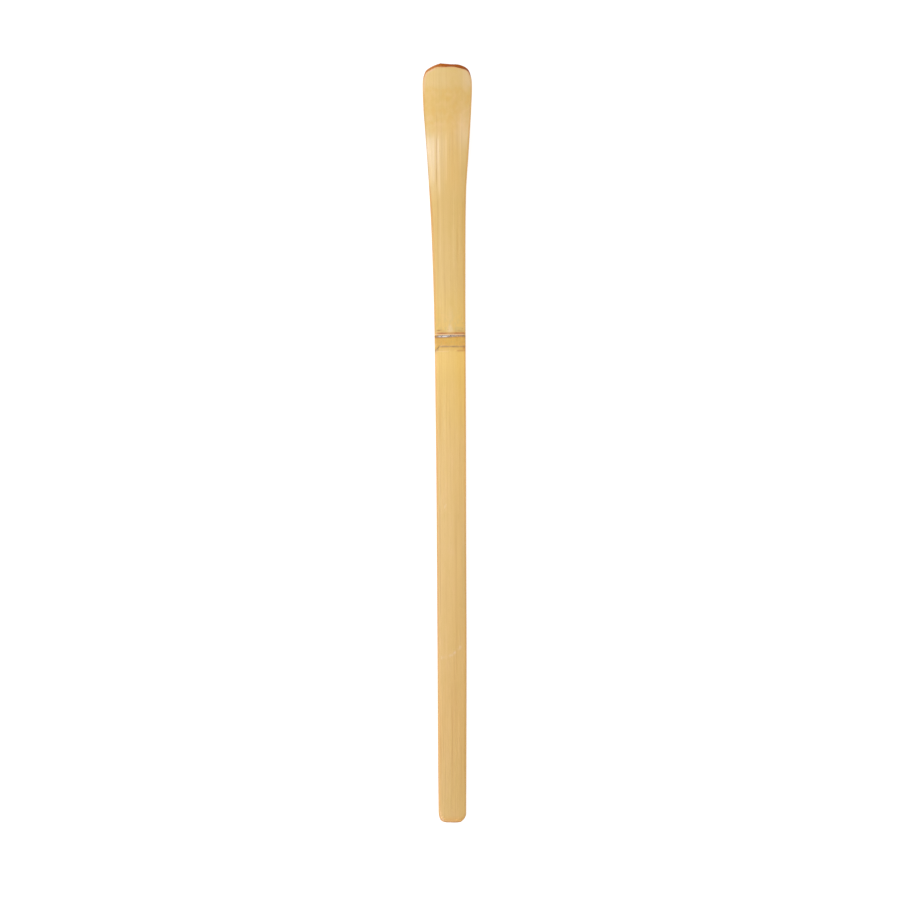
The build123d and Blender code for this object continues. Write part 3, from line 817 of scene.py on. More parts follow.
class Tree:
    """Short hand for building a material from nodes."""

    def __init__(self, name):
        self.mat = bpy.data.materials.new(name)
        self.mat.use_nodes = True
        self.t = self.mat.node_tree
        self.bsdf = next(n for n in self.t.nodes if n.type == "BSDF_PRINCIPLED")
        fib = self.t.nodes.new("ShaderNodeAttribute")
        fib.attribute_name = "fib"
        sep = self.t.nodes.new("ShaderNodeSeparateXYZ")
        self.t.links.new(fib.outputs["Vector"], sep.inputs[0])
        self.x, self.s, self.depth = sep.outputs
        self.rim = self.attr("rim")

    def attr(self, name):
        n = self.t.nodes.new("ShaderNodeAttribute")
        n.attribute_name = name
        return n.outputs["Fac"]

    def put(self, socket, value):
        if hasattr(value, "is_linked"):
            self.t.links.new(value, socket)
        elif value is not None:
            socket.default_value = value

    def math(self, op, a, b=None, c=None, clamp=False):
        n = self.t.nodes.new("ShaderNodeMath")
        n.operation = op
        n.use_clamp = clamp
        for i, v in enumerate((a, b, c)):
            if v is not None:
                self.put(n.inputs[i], v)
        return n.outputs[0]

    def vec(self, a, b, c):
        n = self.t.nodes.new("ShaderNodeCombineXYZ")
        for i, v in enumerate((a, b, c)):
            self.put(n.inputs[i], v)
        return n.outputs[0]

    def scaled(self, fx, fs, fd=0.0, off=0.0):
        """Fibre coordinates, stretched: cells per millimetre each way."""
        return self.vec(self.math("MULTIPLY_ADD", self.x, fx, off), self.math("MULTIPLY", self.s, fs),
                        self.math("MULTIPLY", self.depth, fd))

    def noise(self, vec, detail=2.0, rough=0.5, distortion=0.0, scale=1.0):
        n = self.t.nodes.new("ShaderNodeTexNoise")
        self.put(n.inputs["Vector"], vec)
        n.inputs["Scale"].default_value = scale
        n.inputs["Detail"].default_value = detail
        n.inputs["Roughness"].default_value = rough
        n.inputs["Distortion"].default_value = distortion
        return n.outputs["Fac"]

    def voronoi(self, vec, feature="F1", randomness=1.0, scale=1.0):
        n = self.t.nodes.new("ShaderNodeTexVoronoi")
        n.feature = feature
        self.put(n.inputs["Vector"], vec)
        n.inputs["Scale"].default_value = scale
        n.inputs["Randomness"].default_value = randomness
        return n.outputs["Distance"]

    def ramp(self, v, a, b, lo=0.0, hi=1.0, smooth_=True):
        n = self.t.nodes.new("ShaderNodeMapRange")
        n.interpolation_type = "SMOOTHSTEP" if smooth_ else "LINEAR"
        self.put(n.inputs["Value"], v)
        for key, val in (("From Min", a), ("From Max", b), ("To Min", lo), ("To Max", hi)):
            n.inputs[key].default_value = val
        return n.outputs["Result"]

    def mix(self, fac, a, b, mode="MIX"):
        n = self.t.nodes.new("ShaderNodeMix")
        n.data_type = "RGBA"
        n.blend_type = mode
        self.put(n.inputs["Factor"], fac)
        self.put(n.inputs[6], a)
        self.put(n.inputs[7], b)
        return n.outputs[2]

    def bump(self, height, distance, strength=1.0, normal=None):
        n = self.t.nodes.new("ShaderNodeBump")
        n.inputs["Strength"].default_value = strength
        n.inputs["Distance"].default_value = distance
        self.put(n.inputs["Height"], height)
        if normal is not None:
            self.put(n.inputs["Normal"], normal)
        return n.outputs["Normal"]


# Gains on the skin's colour along the strip: (s, red, green, blue). Darker towards the butt; the lift just below the
# node is painted light, where the rise to the node catches the lamps.
TONE_AND_LIGHT = [
    (-85, 0.88, 0.84, 0.77), (-63, 0.92, 0.86, 0.79), (-46, 0.94, 0.90, 0.85), (-20, 0.98, 0.96, 0.97),
    (-6, 1.02, 1.0, 0.99), (14, 1.04, 1.05, 1.01), (20, 1.09, 1.11, 1.04), (32, 1.02, 1.03, 0.91),
    (40, 0.99, 1.0, 0.98), (56, 0.955, 0.95, 0.87), (64, 0.98, 0.99, 1.0), (72, 0.99, 0.99, 0.94),
    (77, 1.03, 1.01, 0.90), (84, 1.01, 0.98, 0.78), (90, 1.03, 1.06, 1.09),
]


def skin_material(name, rough, cut=False):
    """The outer skin. cut is for its thin side walls, which the knife has left matt."""
    t = Tree(name)
    fine = t.noise(t.scaled(5.2, 0.05), 3, 0.55)
    mid = t.noise(t.scaled(1.3, 0.016, off=3.1), 2, 0.5)
    hair = t.noise(t.scaled(12.0, 0.16, off=7.7), 2, 0.6)
    slow = t.noise(t.scaled(0.30, 0.03, off=1.3), 2, 0.5)
    patch = t.noise(t.scaled(0.42, 0.22, off=9.1), 3, 0.55)
    vein = t.attr("vein")
    streak = t.math("ADD", t.math("MULTIPLY", fine, 0.40), t.math("MULTIPLY", mid, 0.40))
    streak = t.math("ADD", streak, t.math("MULTIPLY", hair, 0.20))
    # they are fainter on the scoop and on part of the handle
    calm = t.math("ADD", t.ramp(t.s, 22, 30, 0.05, 0.12), t.math("MULTIPLY", t.ramp(t.s, 73, 79), 0.27))
    calm = t.math("ADD", calm, t.math("MULTIPLY", t.ramp(t.s, 50, 60), 0.09))
    calm = t.math("ADD", calm,
                  t.math("MULTIPLY", t.math("MULTIPLY", t.ramp(t.s, -50, -42), t.ramp(t.s, -16, -8, 1.0, 0.0)), 0.26))
    calm = t.math("SUBTRACT", calm, t.ramp(t.s, -56, -48, 0.30, 0.0))
    calm = t.math("SUBTRACT", calm, t.math("MULTIPLY", t.math("MULTIPLY", t.ramp(t.s, -8, 0), t.ramp(t.s, 20, 26, 1.0, 0.0)), 0.30))
    streak = t.math("MULTIPLY_ADD", t.math("SUBTRACT", streak, 0.5), t.math("SUBTRACT", 1.0, calm), 0.5)
    base, light, dark = lin(216, 181, 114), lin(226, 193, 134), lin(200, 158, 88)
    col = t.mix(t.ramp(streak, 0.34, 0.50, 1.0, 0.0), base, dark)
    col = t.mix(t.ramp(streak, 0.50, 0.66, 0.0, 1.0), col, light)
    col = t.mix(t.ramp(vein, 0.53, 0.95, 0.0, 0.95), col, lin(178, 124, 46))
    # paler along ridges, which on the left of the bend is partly painted sheen
    col = t.mix(t.ramp(vein, 0.20, 0.48, 0.55, 0.0), col, lin(234, 204, 152))
    # ripe and paler patches
    col = t.mix(t.ramp(patch, 0.52, 0.75, 0.0, 0.30), col, lin(208, 176, 100))
    col = t.mix(t.ramp(patch, 0.28, 0.46, 0.25, 0.0), col, lin(222, 182, 132))
    col = t.mix(t.ramp(slow, 0.38, 0.62, 0.16, 0.0), col, lin(206, 168, 100))
    ripe = t.math("MULTIPLY", t.math("MULTIPLY", t.ramp(t.s, 74, 80), t.ramp(t.s, 85, 90, 1.0, 0.4)),
                  t.math("MULTIPLY", t.ramp(t.x, -1.6, 1.0), t.ramp(t.x, 2.2, 3.8, 1.0, 0.0)))
    col = t.mix(t.math("MULTIPLY", ripe, t.ramp(patch, 0.35, 0.65, 0.15, 0.50)), col, lin(214, 172, 88))
    blotch = t.noise(t.scaled(0.85, 0.50, off=14.3), 2, 0.5)
    on_scoop = t.math("MULTIPLY", t.ramp(t.s, 72, 78), t.ramp(t.s, 87, 90, 1.0, 0.2))
    col = t.mix(t.math("MULTIPLY", on_scoop, t.ramp(blotch, 0.50, 0.66, 0.0, 0.42)), col, lin(214, 170, 88))
    col = t.mix(t.math("MULTIPLY", on_scoop, t.ramp(blotch, 0.34, 0.50, 0.34, 0.0)), col, lin(224, 186, 136))
    # painted sheen makes the left of the bend paler and bluer; the middle is yellower
    bend = t.math("MULTIPLY", t.ramp(t.s, 58, 64), t.ramp(t.s, 73, 81, 1.0, 0.0))
    col = t.mix(t.math("MULTIPLY", bend, t.ramp(t.x, -3.8, -2.2, 1.0, 0.0)), col, (1.0, 1.04, 1.15, 1.0), "MULTIPLY")
    # painted sheen, a little more on the far left of the bend
    painted_bend_sheen = t.math("MULTIPLY", t.ramp(t.s, 61, 65), t.ramp(t.s, 70, 75, 1.0, 0.0))
    col = t.mix(t.math("MULTIPLY", painted_bend_sheen, t.ramp(t.x, -3.4, -2.6, 1.0, 0.0)), col, (1.02, 1.025, 1.07, 1.0), "MULTIPLY")
    foot = t.math("MULTIPLY", t.ramp(t.s, 53, 57), t.ramp(t.s, 64, 69, 1.0, 0.0))
    col = t.mix(t.math("MULTIPLY", foot, t.ramp(t.x, 2.0, 2.9)), col, (0.98, 0.97, 0.92, 1.0), "MULTIPLY")
    core = t.math("MULTIPLY", t.ramp(t.x, -1.3, 0.2), t.ramp(t.x, 2.2, 3.4, 1.0, 0.0))
    col = t.mix(t.math("MULTIPLY", bend, core), col, (1.02, 0.985, 0.885, 1.0), "MULTIPLY")
    strip = t.math("MULTIPLY", t.ramp(t.x, 0.65, 1.05), t.ramp(t.x, 1.15, 1.6, 1.0, 0.0))
    strip = t.math("MULTIPLY", strip, t.math("MULTIPLY", t.ramp(t.s, 60, 65), t.ramp(t.s, 74, 79, 1.0, 0.0)))
    col = t.mix(t.math("MULTIPLY", strip, 0.22), col, lin(216, 170, 80))
    # from there to the node both edges are yellower and the middle is paler
    neck = t.math("MULTIPLY", t.ramp(t.s, 26.5, 30), t.ramp(t.s, 52, 60, 1.0, 0.0))
    col = t.mix(t.math("MULTIPLY", neck, t.ramp(t.x, -2.7, -1.9, 1.0, 0.0)), col, (0.99, 0.975, 0.90, 1.0), "MULTIPLY")
    col = t.mix(t.math("MULTIPLY", neck, t.ramp(t.x, 1.9, 2.9)), col, (0.99, 0.97, 0.92, 1.0), "MULTIPLY")
    middle = t.math("MULTIPLY", t.ramp(t.x, -2.6, -1.8), t.ramp(t.x, -0.6, 0.8, 1.0, 0.0))
    col = t.mix(t.math("MULTIPLY", neck, middle), col, (1.02, 1.035, 1.10, 1.0), "MULTIPLY")
    # yellower next to the node
    near = t.math("MULTIPLY", t.ramp(t.s, -4, 17), t.ramp(t.s, 24, 34, 1.0, 0.0))
    near = t.math("MULTIPLY", near, t.ramp(t.x, 0.2, 3.2, 0.30, 0.62))
    col = t.mix(near, col, lin(222, 180, 88))
    tone = t.t.nodes.new("ShaderNodeValToRGB")
    t.put(tone.inputs["Fac"], t.ramp(t.s, -90.0, 90.0, smooth_=False))
    ramp = tone.color_ramp
    ramp.interpolation = "EASE"
    while len(ramp.elements) < len(TONE_AND_LIGHT):
        ramp.elements.new(0.5)
    for element, (s, *v) in zip(ramp.elements, TONE_AND_LIGHT):
        element.position = (s + 90.0) / 180.0
        element.color = (v[0] / 1.2, v[1] / 1.2, v[2] / 1.2, 1.0)
    # painted light: lighter and paler on the left, darker and yellower on the right, as the lamps on the left light the
    # crowned face; more so at the left edge and on the left of the handle
    side = t.mix(t.ramp(t.x, -2.2, 3.2), (1.237, 1.198, 1.135, 1.0), (1.177, 1.112, 0.965, 1.0))
    side = t.mix(t.ramp(t.x, -3.3, -2.3, 1.0, 0.0), side, (1.28, 1.24, 1.19, 1.0))
    side = t.mix(t.math("MULTIPLY", t.ramp(t.s, -72, -40, 1.0, 0.0), t.ramp(t.x, -2.9, -1.8, 1.0, 0.0)), side, (1.35, 1.31, 1.25, 1.0))
    tone_and_light = t.mix(1.0, tone.outputs["Color"], side, "MULTIPLY")
    col = t.mix(1.0, col, tone_and_light, "MULTIPLY")
    # the cut edge bares the orange fibre under the skin
    edge_noise = t.noise(t.scaled(0.0, 0.6, off=4.0), 2, 0.5)
    edge_at = t.math("MULTIPLY_ADD", edge_noise, 0.14, 0.33)
    bend_left = t.math("MULTIPLY", t.math("MULTIPLY", t.ramp(t.s, 58, 64), t.ramp(t.s, 78, 84, 1.0, 0.0)), t.ramp(t.x, -3.0, -2.0, 1.0, 0.0))
    edge_at = t.math("SUBTRACT", edge_at, t.math("MULTIPLY", bend_left, 0.22))
    neck_left = t.math("MULTIPLY", t.math("MULTIPLY", t.ramp(t.s, 28, 34), t.ramp(t.s, 54, 60, 1.0, 0.0)), t.ramp(t.x, -2.4, -1.6, 1.0, 0.0))
    edge_at = t.math("ADD", edge_at, t.math("MULTIPLY", neck_left, 0.12))
    butt_right = t.math("MULTIPLY", t.ramp(t.s, -60, -44, 1.0, 0.0), t.ramp(t.x, 1.6, 2.4))
    edge_at = t.math("SUBTRACT", edge_at, t.math("MULTIPLY", butt_right, 0.12))
    bared = t.ramp(t.math("SUBTRACT", edge_at, t.rim), -0.09, 0.09)
    orange = t.mix(t.ramp(t.x, -2.0, 0.0), lin(206, 153, 80), lin(213, 163, 88))
    orange = t.mix(t.math("MULTIPLY", t.ramp(t.x, 0.0, 1.0), near), orange, lin(212, 154, 62))
    orange = t.mix(butt_right, orange, lin(216, 170, 98))
    orange = t.mix(1.0, orange, tone_and_light, "MULTIPLY")
    col = t.mix(t.math("MULTIPLY", bared, 0.70), col, orange)
    # painted shade: the left rim of the bend a little darker
    rim = t.ramp(t.rim, 0.10, 0.42, 1.0, 0.0)
    col = t.mix(t.math("MULTIPLY", rim, bend_left), col, (0.93, 0.92, 0.93, 1.0), "MULTIPLY")
    # the left of the bend: painted sheen makes it brightest a little inside its edge, which is browner above and below
    painted_bend_sheen = t.math("MULTIPLY", t.math("MULTIPLY", t.ramp(t.s, 61, 65), t.ramp(t.s, 70, 76, 1.0, 0.0)), bend_left)
    painted_bend_sheen = t.math("MULTIPLY", painted_bend_sheen, t.math("MULTIPLY", t.ramp(t.rim, 0.25, 0.50), t.ramp(t.rim, 0.75, 1.15, 1.0, 0.0)))
    col = t.mix(painted_bend_sheen, col, (1.07, 1.08, 1.14, 1.0), "MULTIPLY")
    edge = t.math("MULTIPLY", t.math("MULTIPLY", t.ramp(t.s, 64, 68), t.ramp(t.s, 80, 86, 1.0, 0.0)), t.ramp(t.x, -3.4, -3.0, 1.0, 0.0))
    col = t.mix(t.math("MULTIPLY", edge, t.ramp(t.rim, 0.22, 0.55, 1.0, 0.0)), col, (0.955, 0.935, 0.87, 1.0), "MULTIPLY")
    edge = t.math("MULTIPLY", t.math("MULTIPLY", t.ramp(t.s, 49, 53), t.ramp(t.s, 60, 63, 1.0, 0.0)), t.ramp(t.x, -3.4, -3.0, 1.0, 0.0))
    col = t.mix(t.math("MULTIPLY", edge, t.ramp(t.rim, 0.30, 0.70, 1.0, 0.0)), col, (0.97, 0.93, 0.84, 1.0), "MULTIPLY")
    edge = t.math("MULTIPLY", t.math("MULTIPLY", t.ramp(t.s, 75, 79), t.ramp(t.s, 85, 87.5, 1.0, 0.0)), t.ramp(t.x, 3.6, 4.2))
    col = t.mix(t.math("MULTIPLY", edge, t.ramp(t.rim, 0.30, 0.55, 1.0, 0.0)), col, (1.01, 1.035, 1.20, 1.0), "MULTIPLY")
    edge = t.math("MULTIPLY", t.math("MULTIPLY", t.ramp(t.s, 72, 76), t.ramp(t.s, 81, 84, 1.0, 0.0)), t.ramp(t.x, 4.0, 4.6))
    col = t.mix(t.math("MULTIPLY", edge, t.ramp(t.rim, 0.35, 0.60)), col, (0.98, 0.97, 0.91, 1.0), "MULTIPLY")
    edge = t.math("MULTIPLY", t.math("MULTIPLY", t.ramp(t.s, 55, 59), t.ramp(t.s, 63, 67, 1.0, 0.0)), t.ramp(t.x, 3.2, 3.8))
    col = t.mix(edge, col, (0.98, 0.985, 0.97, 1.0), "MULTIPLY")
    edge = t.math("MULTIPLY", t.math("MULTIPLY", t.ramp(t.s, 17, 19), t.ramp(t.s, 21.6, 22.2, 1.0, 0.0)), t.ramp(t.x, -3.1, -2.7, 1.0, 0.0))
    col = t.mix(edge, col, (1.0, 1.02, 1.14, 1.0), "MULTIPLY")
    strip = t.math("MULTIPLY", t.math("MULTIPLY", t.ramp(t.s, -36, -20), t.ramp(t.s, 14, 20, 1.0, 0.0)), t.ramp(t.x, -3.0, -2.3, 1.0, 0.0))
    col = t.mix(strip, col, (0.975, 0.965, 0.91, 1.0), "MULTIPLY")
    strip = t.math("MULTIPLY", t.math("MULTIPLY", t.ramp(t.s, -46, -38), t.ramp(t.s, -24, -16, 1.0, 0.0)), t.ramp(t.x, 2.6, 3.2))
    col = t.mix(strip, col, (0.96, 0.985, 1.02, 1.0), "MULTIPLY")
    grey = t.math("MULTIPLY", t.ramp(t.s, 86, 89), t.ramp(t.x, 3.0, 4.6))
    col = t.mix(t.math("MULTIPLY", grey, 0.3), col, lin(224, 190, 150))
    # the node
    band = t.mix(t.ramp(patch, 0.35, 0.65), lin(202, 152, 60), lin(210, 164, 62))
    band = t.mix(t.ramp(fine, 0.35, 0.65, 0.0, 0.5), band, lin(196, 140, 50))
    band = t.mix(t.ramp(t.x, -1.6, 1.2, 1.0, 0.0), band, (1.03, 1.01, 0.86, 1.0), "MULTIPLY")
    flecks = t.noise(t.scaled(2.6, 2.2, off=21.0), 3, 0.65)
    band = t.mix(t.ramp(flecks, 0.50, 0.64, 0.0, 0.55), band, lin(220, 158, 58))
    band = t.mix(t.ramp(flecks, 0.36, 0.48, 0.50, 0.0), band, lin(194, 152, 66))
    col = t.mix(t.attr("ochre"), col, band)
    # dull mottling just above it
    mottle = t.noise(t.scaled(1.5, 1.0, off=9.0), 3, 0.6)
    dull = t.math("MULTIPLY", t.ramp(t.s, 26.5, 26.9), t.ramp(t.s, 28.5, 33.0, 1.0, 0.0))
    col = t.mix(t.math("MULTIPLY", dull, t.ramp(mottle, 0.46, 0.66, 0.0, 0.45)), col, lin(198, 172, 108))
    close = t.math("MULTIPLY", t.ramp(t.s, 26.5, 26.8), t.ramp(t.s, 27.3, 28.4, 1.0, 0.0))
    col = t.mix(t.math("MULTIPLY", close, t.ramp(t.x, 0.6, 1.9, 0.0, 0.45)), col, lin(196, 164, 98))
    left = t.math("MULTIPLY", t.ramp(t.s, 23.0, 26.0), t.ramp(t.s, 30.0, 34.0, 1.0, 0.0))
    col = t.mix(t.math("MULTIPLY", left, t.ramp(t.x, -2.6, -0.6, 1.0, 0.0)), col, (0.985, 0.965, 0.88, 1.0), "MULTIPLY")
    # painted shade on the left rim beside the node, where the lamps on the left light it
    col = t.mix(t.math("MULTIPLY", left, t.ramp(t.x, -3.2, -2.75, 1.0, 0.0)), col, (0.965, 0.95, 0.88, 1.0), "MULTIPLY")
    # the handled end is a little redder
    col = t.mix(t.ramp(t.s, -90.1, -88.2, 0.75, 0.0), col, lin(208, 150, 72))
    corner = t.math("MULTIPLY", t.ramp(t.s, -89.3, -87.2, 1.0, 0.0), t.ramp(t.rim, 0.35, 1.0, 1.0, 0.0))
    col = t.mix(corner, col, (1.0, 0.97, 0.84, 1.0), "MULTIPLY")
    col = t.mix(t.math("MULTIPLY", corner, t.ramp(t.x, -1.8, -0.8, 1.0, 0.0)), col, (0.97, 0.96, 0.92, 1.0), "MULTIPLY")
    # pale lip, spot and line, and painted highlights on the node's left edge and the left corner's rim
    col = t.mix(t.math("MULTIPLY", t.attr("pale_and_highlight"), 0.75, clamp=True), col, lin(244, 204, 174))
    # painted highlights on the butt's lower rim
    col = t.mix(t.attr("painted_rim_highlights"), col, lin(250, 196, 116))
    # the grey-brown line, with painted shade at the scar's foot
    col = t.mix(t.math("MULTIPLY", t.attr("soft"), 0.85, clamp=True), col, lin(146, 108, 62))
    # the node's brown lines, partly painted shadow beside the scar's lip and in the crevice at its foot
    col = t.mix(t.math("MULTIPLY", t.attr("dark"), 1.0, clamp=True), col, lin(170, 88, 8))
    col = t.mix(t.math("MULTIPLY", t.attr("speck"), 0.85, clamp=True), col, lin(160, 102, 38))
    col = t.mix(t.math("MULTIPLY", t.attr("scuff"), 0.72, clamp=True), col, t.mix(t.ramp(t.s, -40, 0), lin(220, 190, 158), lin(230, 204, 172)))
    # the butt's edge: darker end grain and painted shade
    col = t.mix(t.math("MULTIPLY", t.attr("end_grain_and_shade"), 0.80, clamp=True), col, lin(170, 116, 54))
    brown = t.mix(t.ramp(t.x, -4.0, 0.2, 0.42, 0.0), lin(158, 76, 14), lin(212, 146, 68))
    brown = t.mix(t.math("MULTIPLY", t.ramp(t.x, -2.2, -1.4), t.ramp(t.x, -0.6, 0.0, 1.0, 0.0)), brown, (1.07, 1.14, 1.12, 1.0), "MULTIPLY")
    brown = t.mix(t.math("MULTIPLY", t.ramp(t.x, -0.5, 0.4), t.ramp(t.x, 1.6, 2.6, 1.0, 0.0)), brown, (0.95, 0.93, 0.80, 1.0), "MULTIPLY")
    col = t.mix(t.attr("burn"), col, brown)
    t.put(t.bsdf.inputs["Base Color"], col)
    gloss = t.math("MULTIPLY_ADD", t.attr("ochre"), 0.12, t.ramp(streak, 0.3, 0.7, rough + 0.05, rough - 0.04))
    gloss = t.math("MULTIPLY_ADD", t.attr("scuff"), 0.2, gloss)
    gloss = t.math("MAXIMUM", gloss, t.math("MULTIPLY", bared, 0.62))
    gloss = t.math("MAXIMUM", gloss, t.math("MULTIPLY", t.attr("dark"), 0.65))
    if cut:
        t.bsdf.inputs["Roughness"].default_value = 0.6
    else:
        t.put(t.bsdf.inputs["Roughness"], gloss)
    t.bsdf.inputs["Specular IOR Level"].default_value = 0.08 if cut else 0.85
    grain = t.math("ADD", t.math("MULTIPLY", fine, 0.6), t.math("MULTIPLY", hair, 0.4))
    t.put(t.bsdf.inputs["Normal"], t.bump(grain, 0.00003, 0.6))
    return t


def flesh_material(name, base, bundle, rough):
    t = Tree(name)
    # bundles run the whole length: dots on a cut end, lines on a cut side
    wander = t.noise(t.scaled(0.4, 0.05, 0.4, off=2.0), 1, 0.5)
    vx = t.math("MULTIPLY_ADD", wander, 0.5, t.math("MULTIPLY", t.x, 2.3))
    vd = t.math("MULTIPLY_ADD", wander, 0.4, t.math("MULTIPLY", t.depth, 2.3))
    dots = t.voronoi(t.vec(vx, vd, t.math("MULTIPLY", t.s, 0.012)))
    core = t.ramp(dots, 0.12, 0.34, 1.0, 0.0)
    fine = t.noise(t.scaled(9.0, 0.14, 9.0, off=5.0), 3, 0.6)
    slow = t.noise(t.scaled(0.3, 0.06, 0.3, off=6.0), 2, 0.5)
    col = t.mix(t.ramp(slow, 0.35, 0.7), base, lin(226, 184, 118))
    col = t.mix(t.math("MULTIPLY", core, t.ramp(fine, 0.35, 0.65, 0.35, 0.75)), col, bundle)
    col = t.mix(t.ramp(fine, 0.5, 0.75, 0.0, 0.35), col, lin(246, 218, 160))
    # heat browns the back of the bend
    bend = t.math("MULTIPLY", t.ramp(t.s, 56, 68), t.ramp(t.s, 74, 90, 1.0, 0.15))
    bend = t.math("MULTIPLY", bend, t.ramp(t.depth, 0.6, 1.1))
    col = t.mix(t.math("MULTIPLY", bend, t.ramp(fine, 0.3, 0.7, 0.30, 0.5)), col, lin(186, 124, 62))
    # the node's dark lines on the cut sides, partly painted shade
    col = t.mix(t.math("MULTIPLY", t.attr("dark"), 0.5, clamp=True), col, lin(160, 104, 50))
    brown = t.mix(t.ramp(fine, 0.35, 0.65), lin(158, 74, 12), lin(180, 94, 20))
    brown = t.mix(t.math("MULTIPLY", core, 0.35), brown, lin(126, 52, 8))
    brown = t.mix(t.ramp(slow, 0.4, 0.6, 0.0, 0.5), brown, lin(150, 66, 10))
    brown = t.mix(t.ramp(t.x, -4.0, 0.2, 0.42, 0.0), brown, lin(212, 146, 68))
    brown = t.mix(t.math("MULTIPLY", t.ramp(t.x, -2.2, -1.4), t.ramp(t.x, -0.6, 0.0, 1.0, 0.0)), brown, (1.07, 1.14, 1.12, 1.0), "MULTIPLY")
    brown = t.mix(t.math("MULTIPLY", t.ramp(t.x, -0.5, 0.4), t.ramp(t.x, 1.6, 2.6, 1.0, 0.0)), brown, (0.96, 0.94, 0.75, 1.0), "MULTIPLY")
    brown = t.mix(t.ramp(t.x, 1.8, 2.6), brown, (0.98, 1.12, 1.9, 1.0), "MULTIPLY")
    col = t.mix(t.attr("burn"), col, brown)
    t.put(t.bsdf.inputs["Base Color"], col)
    t.put(t.bsdf.inputs["Roughness"], t.ramp(fine, 0.3, 0.7, rough + 0.08, rough - 0.06))
    t.bsdf.inputs["Specular IOR Level"].default_value = 0.08
    height = t.math("ADD", t.math("MULTIPLY", fine, 0.7), t.math("MULTIPLY", core, -0.6))
    t.put(t.bsdf.inputs["Normal"], t.bump(height, 0.00004, 0.6))
    return t


def scar_material():
    t = Tree("sheath_scar")
    n1 = t.noise(t.scaled(1.1, 1.6, 2.0, off=2.2), 3, 0.6)
    n2 = t.noise(t.scaled(5.0, 9.0, 6.0, off=8.2), 3, 0.6)
    # grey in the middle and on the left, browner towards both ends
    ends = t.math("MAXIMUM", t.ramp(t.x, 0.6, 3.0), t.ramp(t.x, -3.3, -2.4, 1.0, 0.0))
    col = t.mix(t.ramp(n1, 0.42, 0.58), lin(122, 100, 84), lin(172, 146, 122))
    col = t.mix(t.ramp(n2, 0.47, 0.62, 0.0, 0.8), col, lin(210, 196, 182))
    col = t.mix(t.math("MULTIPLY", ends, 0.7), col, t.mix(t.ramp(t.x, -1.0, 1.0), lin(166, 106, 50), lin(166, 126, 90)))
    t.put(t.bsdf.inputs["Base Color"], col)
    t.bsdf.inputs["Roughness"].default_value = 0.85
    t.bsdf.inputs["Specular IOR Level"].default_value = 0.2
    t.put(t.bsdf.inputs["Normal"], t.bump(n2, 0.00004, 0.7))
    return t


def flake_material():
    t = Tree("sheath_flake")
    n1 = t.noise(t.scaled(4.0, 3.0, 1.0, off=2.2), 3, 0.6)
    col = t.mix(t.ramp(n1, 0.35, 0.65), lin(172, 156, 142), lin(224, 216, 206))
    core = t.math("MULTIPLY", t.ramp(t.x, -2.1, -1.5), t.ramp(t.x, -0.65, -0.4, 1.0, 0.0))
    col = t.mix(t.math("MULTIPLY", core, 0.55), col, lin(236, 230, 224))
    col = t.mix(t.ramp(t.x, 0.0, 1.6, 0.0, 0.65), col, lin(184, 158, 130))
    t.put(t.bsdf.inputs["Base Color"], col)
    t.bsdf.inputs["Roughness"].default_value = 0.7
    t.put(t.bsdf.inputs["Normal"], t.bump(n1, 0.00003, 0.6))
    return t


skin = skin_material("bamboo_skin", 0.29)
knot = skin_material("bamboo_node_skin", 0.30)
skin_cut = skin_material("bamboo_skin_cut", 0.6, cut=True)
flesh = flesh_material("bamboo_flesh", lin(236, 202, 146), lin(176, 122, 62), 0.55)
dense = flesh_material("bamboo_node", lin(206, 160, 98), lin(150, 98, 48), 0.55)
scar = scar_material()
paper = flake_material()

LOOK = {"handle_skin": (skin, "bamboo_skin"), "blade_skin": (skin, "bamboo_skin"),
        "handle_flesh": (flesh, "bamboo_flesh"), "blade_flesh": (flesh, "bamboo_flesh"),
        "node_flesh": (flesh, "bamboo_flesh"), "node_diaphragm": (dense, "bamboo_node"),
        "node_skin": (knot, "bamboo_node_skin"), "sheath_scar": (scar, "sheath_scar")}
for node, ob in pieces.items():
    look, slot = LOOK[node]
    ob.data.materials.append(look.mat)
    if node.endswith("_skin"):
        ob.data.materials.append(skin_cut.mat)
    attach(ob, "root")
    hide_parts(node)
flake_piece.data.materials.append(paper.mat)
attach(flake_piece, "root")

# ----------------------------------------------------------------- the studio
scene = bpy.context.scene
scene.view_settings.view_transform = "Standard"
scene.view_settings.look = "None"
scene.view_settings.exposure = 0.0
scene.view_settings.gamma = 1.0

world = bpy.data.worlds.new("studio")
scene.world = world
world.use_nodes = True
bg = next(n for n in world.node_tree.nodes if n.type == "BACKGROUND")
bg.inputs["Color"].default_value = (1.0, 1.0, 1.0, 1.0)
bg.inputs["Strength"].default_value = 0.50

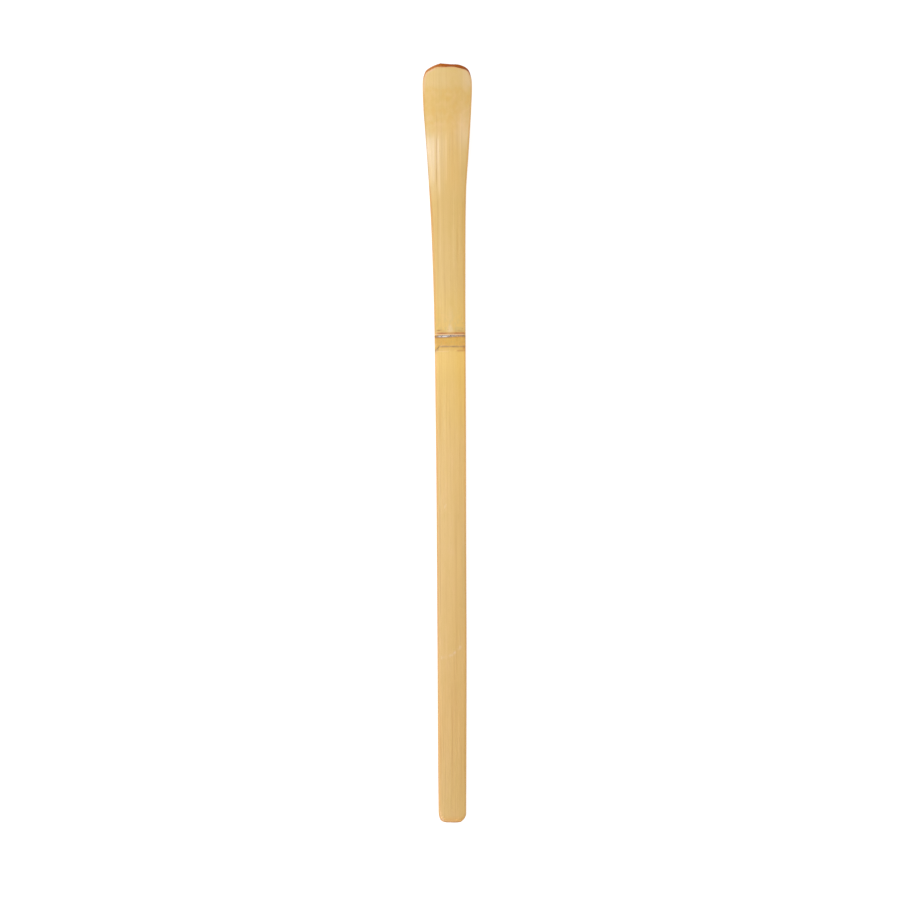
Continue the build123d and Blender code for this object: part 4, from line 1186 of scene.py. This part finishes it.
# A white table lit from below as well, so that no shadow shows beside the scoop.
floor_mesh = bpy.data.meshes.new("floor")
half = 2.5
floor_mesh.from_pydata([(-half, -half, -2e-5), (half, -half, -2e-5), (half, half, -2e-5), (-half, half, -2e-5)],
                       [], [(0, 1, 2, 3)])
floor = bpy.data.objects.new("floor", floor_mesh)
scene.collection.objects.link(floor)
paper_white = bpy.data.materials.new("studio_paper")
paper_white.use_nodes = True
b = next(n for n in paper_white.node_tree.nodes if n.type == "BSDF_PRINCIPLED")
b.inputs["Base Color"].default_value = (0.25, 0.25, 0.25, 1)
b.inputs["Roughness"].default_value = 0.9
b.inputs["Specular IOR Level"].default_value = 0.1
b.inputs["Emission Color"].default_value = (1.0, 1.0, 1.0, 1)
b.inputs["Emission Strength"].default_value = 0.86
floor_mesh.materials.append(paper_white)


def area(name, loc, target, size, power, color=(1, 1, 1)):
    """A soft box whose long side runs along the scoop."""
    light = bpy.data.lights.new(name, "AREA")
    light.shape = "RECTANGLE"
    light.size, light.size_y = size
    light.energy = power
    light.color = color
    ob = bpy.data.objects.new(name, light)
    ob.location = loc
    back = (Vector(loc) - Vector(target)).normalized()
    along = (Vector((0, 1, 0)) - back * back.y).normalized()
    side = along.cross(back)
    ob.rotation_euler = Matrix((side, along, back)).transposed().to_euler()
    scene.collection.objects.link(ob)
    return ob


# A tall box in front and to the left puts the sheen on the left of the bend, a
# fainter one in front and to the right does the same there. The rest light it evenly.
area("front", (-0.365, -0.545, 0.83), (0, 0.06, 0), (0.21, 0.56), 3.25, (0.84, 0.99, 1.34))
area("front_right", (0.22, -0.862, 0.632), (0, 0.075, 0), (0.25, 0.50), 0.68, (0.86, 1.0, 1.2))
area("side", (-1.0, -0.05, 0.75), (0, 0, 0), (0.6, 1.2), 6.2)
area("left_high", (-0.44, 0.02, 1.0), (0, 0, 0), (0.25, 0.80), 1.35)
area("back", (-0.25, 0.95, 0.80), (0, 0, 0), (0.7, 0.5), 3.6)

# The camera looks straight down from far off, turned by 0.37 degrees.
K, D, ZREF = 0.23798, 1783.0, 3.0
cam_data = bpy.data.cameras.new("camera")
cam_data.sensor_fit = "HORIZONTAL"
cam_data.sensor_width = 36.0
cam_data.lens = 36.0 * D / (900 * K)
cam_data.clip_start, cam_data.clip_end = 0.05, 50.0
cam = bpy.data.objects.new("camera", cam_data)
cam.location = (0.083 * MM, -1.365 * MM, (D + ZREF) * MM)
cam.rotation_euler = (0, 0, rad(-0.37))
scene.collection.objects.link(cam)
scene.camera = cam
